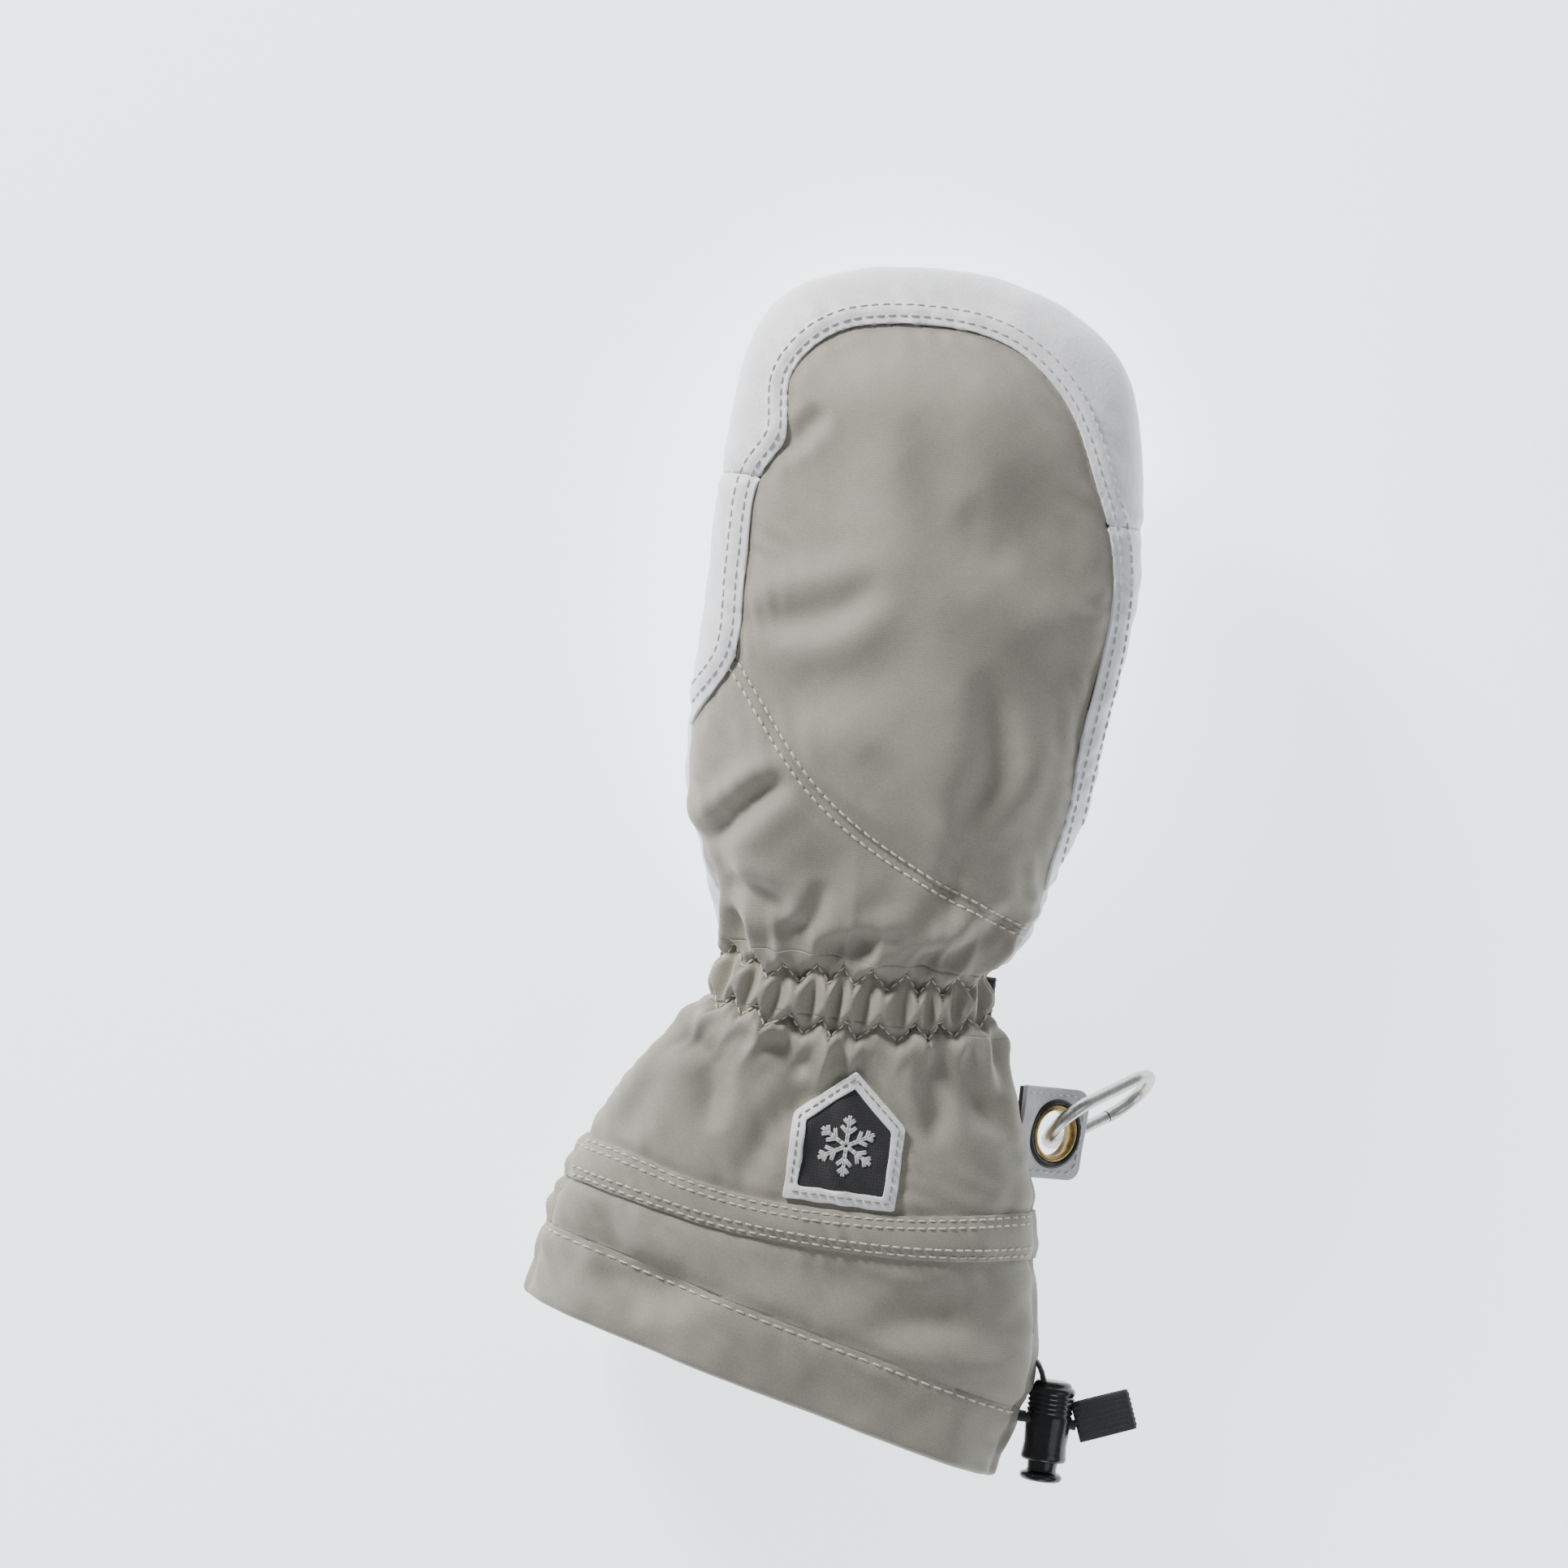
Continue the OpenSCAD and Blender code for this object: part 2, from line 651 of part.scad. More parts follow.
module drawcord() {
    start = cord_loop[0];
    color([0.12, 0.12, 0.12]) cloth() union() {
        tube(cord_loop, cord_r);
        for (s = [-1, 1]) translate([start[0], cord_exit[1], cord_exit[2] + s * tail_gap]) {
            sphere(r = cord_r, $fn = 16);
            rotate([0, 90, 0]) cylinder(r = cord_r, h = pull_at[0] + 1 - start[0], $fn = 16);
        }
    }
}
module lock_shape(r, from, len) {
    translate([lock_x, from, cord_exit[2]]) rotate([90, 0, 0]) cylinder(r = r, h = len, $fn = 40);
}
module cord_slot(grow, length) {  // slot across the lock that both cord tails run through
    translate([lock_x - 15, cord_exit[1] - grow - length / 2, cord_exit[2] - tail_gap - grow])
        cube([30, 2 * grow + length, 2 * (tail_gap + grow)]);
}
module lock_body() {
    color(black) difference() {
        union() {
            lock_shape(lock_r, lock_top - 1, lock_len - 1);
            lock_shape(lock_r - 1.2, lock_top, 2);
        }
        lock_shape(button_r + 0.15, lock_top - 3, lock_len + 5);
        cord_slot(cord_r + 0.35, 0);
    }
}
module lock_button() {
    color(black) difference() {
        union() {
            lock_shape(button_r, lock_top - 6.6, lock_len - 6.6 + button_travel + 1.5);
            lock_shape(lock_r - 0.6, lock_top - lock_len - button_travel - 0.6, 2.4);
        }
        translate([0, -button_travel / 2, 0]) cord_slot(cord_r + 0.35, button_travel);
    }
}
module lock_tether() {            // webbing loop that holds the lock at the hem
    color(black) cloth() difference() {
        translate([60, lock_top - 1, cord_exit[2] - 5]) cube([7, 9, 10]);
        hand_loft(-0.1);
        lock_shape(lock_r + 0.05, lock_top + 0.05, lock_len);
    }
}
pull_turn = 22;
pull_len = 16;
module pull_tab() {
    color(black) difference() {
        translate([pull_at[0], cord_exit[1], cord_exit[2]]) rotate([0, 0, pull_turn])
            translate([0.6, -5, -cord_r - 0.9]) cube([pull_len, 11, 2 * cord_r + 1.8]);
        for (s = [-1, 1]) translate([58, cord_exit[1], cord_exit[2] + s * tail_gap])
            rotate([0, 90, 0]) cylinder(r = cord_r, h = pull_at[0] + 1 - 58, $fn = 16);
        lock_shape(lock_r + 0.3, lock_top + 5, lock_len + 10);
    }
}

// ---- Output -----------------------------------------------------------------------------------
module place() { translate([-origin_x, -origin_y, -origin_z]) children(); }
place() back_panel();
place() lower_back_panel();
place() tip_band();
place() index_side_strip();
place() outer_side_strip();
place() palm_panel();
place() thumb_leather();
place() thumb_fabric();
place() thumb_liner();
place() thumb_gusset();
place() wrist_panel();
place() wrist_elastic();
place() cuff_back_panel();
place() cuff_palm_panel();
place() cuff_band();
place() hem_sleeve();
place() cuff_lining();
place() padding();
place() hand_liner();
place() label_frame();
place() label_field();
place() tab_leather();
place() tab_backing();
place() eyelet_barrel();
place() eyelet_rim();
place() eyelet_washer();
place() carabiner_body();
place() carabiner_gate();
place() gate_pin();
place() wrist_strap();
place() strap_flap();
place() loop_pad();
place() hook_pad();
place() strap_ring();
place() ring_keeper();
place() drawcord();
place() lock_body();
place() lock_button();
place() lock_tether();
place() pull_tab();
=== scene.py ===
import bmesh
import bpy
import json
import math
import numpy as np
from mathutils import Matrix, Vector
from mathutils.bvhtree import BVHTree


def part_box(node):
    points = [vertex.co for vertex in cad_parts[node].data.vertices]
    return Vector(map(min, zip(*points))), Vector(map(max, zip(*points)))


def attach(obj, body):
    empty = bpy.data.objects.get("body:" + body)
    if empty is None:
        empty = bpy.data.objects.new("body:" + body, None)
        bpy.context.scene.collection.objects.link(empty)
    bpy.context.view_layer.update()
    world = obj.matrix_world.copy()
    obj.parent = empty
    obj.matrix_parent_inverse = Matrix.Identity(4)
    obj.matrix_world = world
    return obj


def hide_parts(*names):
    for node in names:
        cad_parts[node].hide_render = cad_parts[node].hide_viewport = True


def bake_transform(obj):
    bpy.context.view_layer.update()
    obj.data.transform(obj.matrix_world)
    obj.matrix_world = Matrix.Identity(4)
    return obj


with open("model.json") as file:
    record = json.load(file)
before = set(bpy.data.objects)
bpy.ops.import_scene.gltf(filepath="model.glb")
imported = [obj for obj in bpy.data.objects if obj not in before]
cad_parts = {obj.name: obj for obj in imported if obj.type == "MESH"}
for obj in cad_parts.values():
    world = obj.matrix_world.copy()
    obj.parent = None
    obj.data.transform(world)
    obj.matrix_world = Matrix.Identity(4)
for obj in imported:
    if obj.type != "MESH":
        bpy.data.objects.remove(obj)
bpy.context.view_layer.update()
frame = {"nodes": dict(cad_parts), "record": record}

rng = np.random.default_rng(7)
ORIGIN = np.array([7.2, 30.3, 0.3])        # design millimetres to the row frame

# [left x, left y, right x, right y, height of the widest line, rise, drop], hem to fingertip
SECTIONS = np.array([
    [-79, -97, 57, -130, 29, 29, 28.7], [-76, -79, 63, -101, 30, 29, 28.6],
    [-71, -65, 62, -79, 32, 27.5, 26], [-66, -52, 58, -58, 34, 25, 24],
    [-57, -35, 51, -38, 39, 20, 20], [-46, -22, 45, -23, 45, 15, 17],
    [-39, -11, 39.5, -10, 46, 14.5, 16.5], [-36.5, -2, 37.5, -2, 46, 15, 16],
    [-37.5, 6, 37.5, 5, 46.5, 16.5, 17], [-41, 14, 43, 14, 48, 19, 19.5],
    [-49, 34, 49, 33, 50, 22.5, 22.5], [-54, 58, 54.5, 58, 51, 24, 23.5],
    [-54, 90, 59, 90, 52, 24, 24], [-54.5, 120, 59.5, 120, 52, 23, 23],
    [-53.5, 150, 56.5, 150, 51, 20.5, 20.5], [-49.5, 171, 48, 172, 50, 16, 16],
    [-41, 181.5, 33, 184, 49, 11, 11], [-25, 188.5, 14, 190.5, 48.5, 6, 6],
    [-14, 190.5, 0, 191.5, 48, 2.5, 2.5], [-8, 191, -6, 191.4, 48, 0.4, 0.4]], float)
THUMB = np.array([
    [-26, 10.5, 2, 10.5, 18, 4, 7], [-32, 17, 8, 17, 16, 8, 11],
    [-36, 35, 10, 35, 14, 11.5, 13], [-38, 60, 8, 60, 13.5, 12, 13.2],
    [-38, 85, 4, 85, 13.5, 12, 13], [-35, 108, 1, 108, 13.5, 11, 11.5],
    [-30.5, 122, -3, 122, 13.5, 8.5, 8.5], [-24, 129, -9.5, 129, 13.5, 4.5, 4.5],
    [-19, 131, -14, 131, 13.5, 1.5, 1.5], [-17, 131.2, -16, 131.2, 13.5, 0.3, 0.3]], float)
SPLIT_Z = 49          # seam between the back of the hand and the palm
ROUNDNESS = 2.3       # of every section: 2 is an ellipse, more is squarer
WRIST_TOP, WRIST_LOW, HOOD_Y, CUFF_SPLIT = 5, -12, 129, 36
HOLE_R = 12           # the thumb's way through the palm
ZIG_H = 2.6           # half the height of the wrist's zigzag rows
SHIRR_SEED = 31


def lengths(p):
    """How far each point of a path lies from its start, along the path."""
    return np.concatenate([[0], np.cumsum(np.linalg.norm(np.diff(p, axis=0), axis=1))])


def along_path(at, s, p):
    """The path's points at those distances."""
    return np.stack([np.interp(at, s, p[:, k]) for k in range(p.shape[1])], -1)


def unit(v):
    return v / np.linalg.norm(v, axis=-1, keepdims=True)


def grid_faces(i, round_u=True, round_v=False):
    """Quads between the neighbours in a grid of point numbers."""
    if round_u:
        i = np.concatenate([i, i[:, :1]], 1)
    if round_v:
        i = np.concatenate([i, i[:1]])
    return np.stack([i[:-1, :-1], i[:-1, 1:], i[1:, 1:], i[1:, :-1]], -1).reshape(-1, 4)


def numbered(grid):
    return np.arange(grid.shape[0] * grid.shape[1]).reshape(grid.shape[:2])


def spline(points, steps=8):
    p = np.asarray(points, float)
    t = np.linspace(0, len(p) - 1, (len(p) - 1) * steps + 1)
    return catmull(p, t)


def catmull(rows, t):
    i = np.clip(t.astype(int), 0, len(rows) - 2)
    f = (t - i)[:, None]
    a, b = rows[np.maximum(i - 1, 0)], rows[i]
    c, d = rows[i + 1], rows[np.minimum(i + 2, len(rows) - 1)]
    return 0.5 * (2 * b + (c - a) * f + (2 * a - 5 * b + 4 * c - d) * f ** 2
                  + (3 * b - a - 3 * c + d) * f ** 3)


def ring(s, m):
    """m points round one section, evenly spaced, starting at its right edge."""
    a = np.linspace(0, 2 * math.pi, m * 4 + 1)
    across = np.sign(np.cos(a)) * np.abs(np.cos(a)) ** (2 / ROUNDNESS)
    up = np.sign(np.sin(a)) * np.abs(np.sin(a)) ** (2 / ROUNDNESS)
    share = (1 + across) / 2
    p = np.stack([s[0] + (s[2] - s[0]) * share, s[1] + (s[3] - s[1]) * share,
                  s[4] + up * np.where(up > 0, s[5], s[6])], 1)
    along = lengths(p)
    return along_path(np.linspace(0, along[-1], m + 1), along, p)


def loft_grid(table, spacing, m):
    """Rows of rings. Returns the points, and each row's place along the table."""
    t = np.linspace(0, len(table) - 1, 4000)
    s = catmull(table, t)
    along = lengths(np.stack([(s[:, 1] + s[:, 3]) / 2, (s[:, 2] - s[:, 0]) / 2, s[:, 5]], 1))
    rows = np.interp(np.linspace(0, along[-1], int(along[-1] / spacing)), along, t)
    return np.array([ring(catmull(table, np.array([r]))[0], m) for r in rows]), rows


def grid_normals(P):
    wrap = np.concatenate([P[:, -2:-1], P, P[:, 1:2]], 1)
    du = wrap[:, 2:] - wrap[:, :-2]
    dv = np.gradient(P, axis=0)
    n = np.cross(dv, du)
    return n / np.maximum(np.linalg.norm(n, axis=2, keepdims=True), 1e-9)


def from_line(x, y, line, closed=False):
    """Signed distance in plan: positive on the left of the line or inside the closed line."""
    best = np.full(x.shape, 1e9)
    side = np.ones(x.shape)
    q = np.asarray(line, float)
    q = np.vstack([q, q[:1]]) if closed else q
    within = np.zeros(x.shape, bool)
    for a, b in zip(q[:-1], q[1:]):
        d = b - a
        t = np.clip(((x - a[0]) * d[0] + (y - a[1]) * d[1]) / (d @ d + 1e-12), 0, 1)
        gap = np.hypot(x - a[0] - t * d[0], y - a[1] - t * d[1])
        near = gap < best
        best = np.where(near, gap, best)
        side = np.where(near, np.sign(d[0] * (y - a[1]) - d[1] * (x - a[0]) + 1e-12), side)
        if closed and abs(d[1]) > 1e-12:
            cross = ((a[1] > y) != (b[1] > y)) & (x < a[0] + (y - a[1]) * d[0] / d[1])
            within ^= cross
    return best * (np.where(within, 1, -1) if closed else side)


def wobble(x, y, z, size, seed, n=9):
    """Smooth irregular waves between about -1 and 1, of that size in millimetres."""
    r = np.random.default_rng(seed)
    out = np.zeros(x.shape)
    for _ in range(n):
        k = r.normal(size=3)
        k *= 2 * math.pi / (size * r.uniform(0.7, 1.5)) / np.linalg.norm(k)
        out += np.sin(k[0] * x + k[1] * y + k[2] * z + r.uniform(0, 6.28))
    return out / math.sqrt(n) / 0.9


def bell(d, width):
    return np.exp(-(d / width) ** 2)


def step(x):
    x = np.clip(x, 0, 1)
    return x * x * (3 - 2 * x)


def fold(x, y, line, depth, width, ridge=0.55):
    """A crease along a line in plan, with a soft ridge beside it."""
    d = from_line(x, y, spline(line, 4))
    ends = np.asarray(line, float)
    length = np.hypot(*(ends[-1] - ends[0]))
    fade = step((length * 0.62 + 4 - np.hypot(x - ends[:, 0].mean(), y - ends[:, 1].mean()))
                / (length * 0.4 + 4))
    return fade * (-depth * bell(d, width) + ridge * depth * bell(d - 1.9 * width, width * 1.1)
                   + 0.3 * depth * bell(d + 2.1 * width, width * 1.3))


# ---- Lines in plan, in design millimetres ------------------------------------------------
BACK_EDGE = spline([[-53, 44], [-54, 62], [-45, 81], [-45.5, 105], [-45.5, 127], [-39.5, 141],
    [-40, 158], [-28, 171.5], [-4, 176], [17, 173], [34, 160], [45, 140], [52.5, 121],
    [54, 98], [51, 64], [48, 29]])
CROSS = spline([[-70, 105], [-45.5, 80], [-19, 48.5], [10, 30.5], [45, 17.5], [70, 8]])
PALM_ARCH = spline([[-51, 118], [-36, 142], [-11, 162], [18, 165], [42, 146], [54, 127]])
GATHER_1 = spline([[-60, 2], [-36, 1.6], [-20.8, -1.8], [-1, -0.2], [21, -0.4], [37, 4], [60, 6]])
GATHER_2 = spline([[-60, -11], [-35, -11.6], [-23.5, -14.4], [-10, -15.2], [12, -13.9],
    [29, -10.3], [38.6, -6.5], [60, -5]])
BAND_TOP = spline([[-110, -50], [-64, -54], [-37, -60], [-14, -63], [19, -62.5], [60, -57],
    [100, -52]])
BAND_LOW = spline([[-110, -60], [-66.5, -66], [-24, -73], [21, -73.8], [62, -70], [100, -66]])
HEM_L, HEM_R = SECTIONS[0][:2], SECTIONS[0][2:4]
HEM_ALONG = (HEM_R - HEM_L) / np.linalg.norm(HEM_R - HEM_L)
HEM_UP = np.array([-HEM_ALONG[1], HEM_ALONG[0]])
HEM_H = 19
FAR = 140
FABRIC_ZONE = np.vstack([[[48, -1], [FAR, -1], [FAR, 20]], BACK_EDGE[::-1], [[-FAR, 40], [-FAR, -1]]])
PALM_ZONE = np.vstack([[[-FAR, -1], [-FAR, 110]], PALM_ARCH, [[FAR, 120], [FAR, -1]]])
LABEL = np.array([[-15.1, -18], [15.1, -18], [15.1, 4.7], [0, 18], [-15.1, 4.7]])
LABEL_AT = np.array([3.5, -43.5])
THUMB_HOLE = np.array([-14, 37])

FOLDS = [
    ([[-39, 137], [-35, 142], [-31, 147]], 1.1, 3.5), ([[-5, 145], [3, 129], [16, 109]], 1.2, 9),
    ([[-41, 90], [-23, 94], [-10, 102]], 1.7, 6), ([[24, 83], [29, 64], [24, 46]], 1.8, 6.5),
    ([[12, 126], [18, 120], [25, 115]], 1.0, 8), ([[-47, 29], [-34, 43], [-28, 48]], 2.2, 4),
    ([[-37, 20], [-30, 19], [-22, 16]], 1.6, 4), ([[-4, 59], [4, 52], [13, 44]], 0.9, 6),
    ([[16, 5], [28, 11], [38, 21]], 1.9, 4), ([[-6, 7], [2, 9], [10, 13]], 1.5, 3.6),
    ([[-35, 12], [-32, 7], [-29, 1]], 1.4, 3), ([[-20, 9], [-14, 14], [-12, 22]], 1.2, 3.4),
    ([[-44, -22], [-36, -29], [-33, -44]], 2.0, 4.4), ([[-26, -20], [-17, -22], [-12, -27]], 1.6, 3.4),
    ([[26, -16], [38, -29], [49, -38]], 2.0, 4.5), ([[39, -11], [43, -18], [46, -26]], 1.6, 3.6),
    ([[-59, -51], [-55, -44], [-51, -36]], 1.1, 5), ([[20, -17], [26, -28], [27, -40]], 1.3, 4),
    ([[-61, -76], [-52, -88], [-30, -93]], 2.1, 7), ([[-12, -78], [22, -86], [52, -80]], 1.5, 8),
    ([[10, -97], [36, -90], [60, -90]], 1.2, 6), ([[-45, -98], [-52, -92], [-60, -90]], 1.0, 5),
    ([[-5, -30], [-16, -42], [-22, -56]], 1.2, 5), ([[52, -60], [54, -48], [50, -40]], 1.2, 4),
    ([[10, 96], [34, 88], [50, 92]], 0.7, 9), ([[-30, 70], [-12, 76], [4, 90]], 0.8, 9)]
PALM_FOLDS = [
    ([[-46, 60], [-34, 74], [-28, 96]], 1.6, 5), ([[8, 30], [24, 44], [46, 50]], 1.4, 5),
    ([[-40, 118], [-20, 126], [6, 128]], 1.0, 8), ([[20, 60], [30, 84], [28, 110]], 1.2, 9),
    ([[6, 62], [12, 80], [14, 100]], 1.3, 5), ([[14, 14], [26, 22], [40, 26]], 1.4, 4),
    ([[-60, -76], [-30, -90], [4, -92]], 1.8, 7), ([[20, -30], [30, -44], [34, -56]], 1.6, 5),
    ([[-30, -28], [-36, -40], [-52, -50]], 1.6, 5), ([[20, -84], [40, -92], [56, -90]], 1.3, 6)]
TEETH = 22


def line_gap(x, y, line):
    return y - np.interp(x, line[:, 0], line[:, 1])


def hem_rise(x, y):
    return (x - HEM_L[0]) * HEM_UP[0] + (y - HEM_L[1]) * HEM_UP[1]


def label_gap(x, y):
    return from_line(x - LABEL_AT[0], y - LABEL_AT[1], LABEL, closed=True)


def hole_gap(x, y):
    return np.hypot(x - THUMB_HOLE[0], y - THUMB_HOLE[1]) - HOLE_R


def zigzag(x, y, z, u):
    """The uneven pitch of the wrist's pleats, and how far its thread swings at each point."""
    jitter = 0.9 * wobble(x, y * 0.3, z, 30, SHIRR_SEED)
    return jitter, ZIG_H * (np.abs(((TEETH * u + jitter / 6.28) % 1) - 0.5) * 4 - 1)


class Fields:
    """Where each seam lies from every point of a grid on the hand's shell."""

    def __init__(self, P):
        x, y, z = P[..., 0], P[..., 1], P[..., 2]
        self.x, self.y, self.z = x, y, z
        self.top = step((z - 44) / 10)
        self.fabric = np.minimum(from_line(x, y, FABRIC_ZONE, closed=True), z - SPLIT_Z)
        self.cross = from_line(x, y, CROSS)
        self.palm = np.minimum(from_line(x, y, PALM_ZONE, closed=True), SPLIT_Z - z)
        self.g1, self.g2 = line_gap(x, y, GATHER_1), line_gap(x, y, GATHER_2)
        self.band = np.minimum(-line_gap(x, y, BAND_TOP), line_gap(x, y, BAND_LOW))
        self.hem = hem_rise(x, y)
        self.label = label_gap(x, y)
        self.hand = self.g1 - 1.5
        self.hole = np.where(z > 44, 50, hole_gap(x, y))
        self.cuff_seam = z - CUFF_SPLIT


def shape(P, f, u):
    """How far the cloth stands out from the plain shell at each point of the grid."""
    x, y, z = f.x, f.y, f.z
    on_hand, on_cuff = step((y - 2) / 6), step((WRIST_LOW - y) / 6)
    h = 0.75 * wobble(x, y, z, 52, 3) + 0.16 * wobble(x, y, z, 22, 4)
    is_leather = on_hand * (f.fabric < 0)
    h *= 1 - 0.45 * is_leather
    h += 0.04 * wobble(x, y, z, 9, 5) * (1 - 0.3 * is_leather)
    for line, depth, width in FOLDS:
        h += f.top * fold(x, y, line, depth * 1.55, width * 0.9)
    for line, depth, width in PALM_FOLDS:
        h += (1 - f.top) * fold(x, y, line, depth * 1.5, width * 0.85)
    # seams sink, and pucker across their length
    off_top = 9 * (1 - f.top)
    seams = [(f.fabric, on_hand, 1.1, 2.6), (np.abs(f.cross) + off_top, on_hand * (f.fabric > 0), 0.9, 2.2),
             (f.palm, on_hand * (1 - f.top), 0.8, 2.0), (y - HOOD_Y, is_leather * (z > 47), 0.8, 1.8),
             (f.band, on_cuff, 0.8, 2.2), (f.hem - HEM_H, on_cuff, 1.1, 2.6),
             (f.cuff_seam, on_cuff, 1.0, 2.4), (f.label + off_top, on_cuff, 0.7, 2.6)]
    for k, (d, where, depth, width) in enumerate(seams):
        h -= depth * where * bell(d, width)
        ruck = np.sin(2 * math.pi * (x + y * 0.9 + z * 0.7) / 9.5 + 2.2 * wobble(x, y, z, 26, 20 + k))
        h += 0.42 * where * ruck * np.exp(-np.abs(d) / 7) * (1 - np.exp(-(d / 2) ** 2))
    # the shirred wrist: pillows between two zigzag rows, with pleats running out of them
    jitter, zig = zigzag(x, y, z, u)
    phase = 2 * math.pi * TEETH * u + jitter
    e1, e2 = f.g1 - zig, f.g2 + zig
    inside = step((1.5 - e1) / 3) * step((e2 + 1.5) / 3)
    pillow = 1 - 2 * np.abs(np.cos(phase / 2)) ** 3
    out = np.where(e1 > 0, e1, np.maximum(-e2, 0))
    soft = 0.5 + 0.5 * wobble(x, y * 0.4, z, 22, 33)
    h += 1.9 * inside * pillow
    h += (1 - inside) * (2.2 * np.exp(-out / 7) * -pillow * (0.6 + 0.4 * soft)
                         + 2.0 * np.exp(-out / 17) * np.sin(phase / 2 + 1.5 * wobble(x, y, z, 40, 34)) * soft
                         + 1.4 * np.exp(-out / 28) * np.sin(phase / 3.6 + 2.0 * wobble(x, y, z, 50, 35)))
    h -= 2.2 * (bell(e1, 1.6) + bell(e2, 1.6))
    h += 1.3 * (bell(e1 - 5, 3.5) + bell(e2 + 5, 3.5)) * (0.6 + 0.4 * soft)
    # the hem puckers where its cord pulls it in
    low = step((HEM_H + 6 - f.hem) / 10)
    h += low * (0.7 * wobble(x, y * 0.6, z, 26, 41) + 0.2 * wobble(x, y, z, 13, 42))
    # leather lies over the fabric's edge, between its two rows of stitches it is flatter
    h += 0.25 * is_leather * bell(f.fabric + 3.4, 1.6)
    h -= 0.12 * is_leather * (bell(f.fabric + 1.9, 0.7) + bell(f.fabric + 5.0, 0.7))
    return h


# ---- Meshes ---------------------------------------------------------------------------------
collection = bpy.context.scene.collection


def make_object(name, verts, faces, uv=None, weld=0):
    mesh = bpy.data.meshes.new(name)
    points = (np.asarray(verts, float) - ORIGIN) * 0.001
    mesh.from_pydata(points, [], [list(map(int, f)) for f in faces])
    if uv is not None:
        layer = mesh.uv_layers.new(name="cloth")
        loops = np.zeros(len(mesh.loops), int)
        mesh.loops.foreach_get("vertex_index", loops)
        layer.data.foreach_set("uv", np.asarray(uv, np.float32)[loops].ravel())
    obj = bpy.data.objects.new(name, mesh)
    collection.objects.link(obj)
    if weld:
        bm = bmesh.new()
        bm.from_mesh(mesh)
        bmesh.ops.remove_doubles(bm, verts=bm.verts, dist=weld * 0.001)
        bm.to_mesh(mesh)
        bm.free()
    mesh.polygons.foreach_set("use_smooth", [True] * len(mesh.polygons))
    mesh.update()
    return obj


def thicken(obj, t):
    m = obj.modifiers.new("thickness", "SOLIDIFY")
    m.thickness, m.offset, m.use_rim = t * 0.001, -1, True
    m.use_even_offset = False
    return obj


def cut_panel(name, P, N, uv, field, raised=0.0, thickness=1.4, stride=1):
    """The part of a grid where field is positive, cut exactly along its edge."""
    P, N, uv, field = (a[::stride, ::stride] for a in (P, N, uv, field))
    field = np.where(np.abs(field) < 1e-6, 1e-6, field)
    pos = (P + N * raised).reshape(-1, 3)
    w, fl = uv.reshape(-1, 2), field.ravel()
    quads = grid_faces(numbered(field), False)
    inside = fl[quads] > 0
    count = inside.sum(1)
    faces = [list(q) for q in quads[count == 4]]
    extra_p, extra_w, made = [], [], {}
    cut = (count > 0) & (count < 4)
    for q, ins in zip(quads[cut], inside[cut]):
        poly = []
        for k in range(4):
            a, b = int(q[k]), int(q[(k + 1) % 4])
            if ins[k]:
                poly.append(a)
            if ins[k] != ins[(k + 1) % 4]:
                key = (min(a, b), max(a, b))
                if key not in made:
                    t = fl[key[0]] / (fl[key[0]] - fl[key[1]])
                    made[key] = len(pos) + len(extra_p)
                    extra_p.append(pos[key[0]] + t * (pos[key[1]] - pos[key[0]]))
                    extra_w.append(w[key[0]] + t * (w[key[1]] - w[key[0]]))
                poly.append(made[key])
        if len(poly) > 2:
            faces.append(poly)
    allp = np.vstack([pos] + ([np.array(extra_p)] if extra_p else []))
    allw = np.vstack([w] + ([np.array(extra_w)] if extra_w else []))
    used = np.unique(np.concatenate([np.asarray(f, int) for f in faces]))
    renumber = np.full(len(allp), -1)
    renumber[used] = np.arange(len(used))
    faces = [renumber[np.asarray(f, int)][::-1] for f in faces]
    obj = make_object(name, allp[used], faces, allw[used], weld=0.12)
    return thicken(obj, thickness) if thickness else obj


def strip(name, path, across, thickness, ribs=1.6, step_mm=0.8, rib_h=0.12):
    """Webbing: a path of points, with its width along the vector across, and ribs along it."""
    path = np.asarray(path, float)
    along = lengths(path)
    n = max(int(along[-1] / step_mm), 3)
    s = np.linspace(0, along[-1], n)
    c = along_path(s, along, path)
    across = np.asarray(across, float)
    width = np.linalg.norm(across)
    normal = np.cross(unit(np.gradient(c, axis=0)), across / width)
    v = np.linspace(-0.5, 0.5, max(int(width / 0.35), 4))
    edge = np.clip((0.5 - np.abs(v)) * width / 1.2, 0, 1)
    relief = rib_h * np.cos(2 * math.pi * v * width / ribs) - 0.45 * (1 - np.sqrt(1 - (1 - edge) ** 2))
    weave = 0.05 * np.outer(np.cos(s * 2 * math.pi / 1.6), np.cos(2 * math.pi * v * width / ribs))
    half = thickness / 2 + relief[None, :] + weave
    base = c[:, None] + v[None, :, None] * across[None, None]
    up, down = base + normal[:, None] * half[..., None], base - normal[:, None] * half[..., None]
    verts = np.vstack([up.reshape(-1, 3), down.reshape(-1, 3)])
    i = numbered(half)
    quads = grid_faces(i.T, False)
    off = i.size
    faces = list(quads[:, ::-1]) + list(quads + off)
    for a, b in ((i[0], False), (i[-1], True), (i[:, 0], True), (i[:, -1], False)):
        for p, q in zip(a[:-1], a[1:]):
            face = [p, q, q + off, p + off]
            faces.append(face if b else face[::-1])
    uv = np.stack(np.broadcast_arrays(v[None, :] * width, s[:, None]), -1).reshape(-1, 2)
    return make_object(name, verts, faces, np.vstack([uv, uv]))


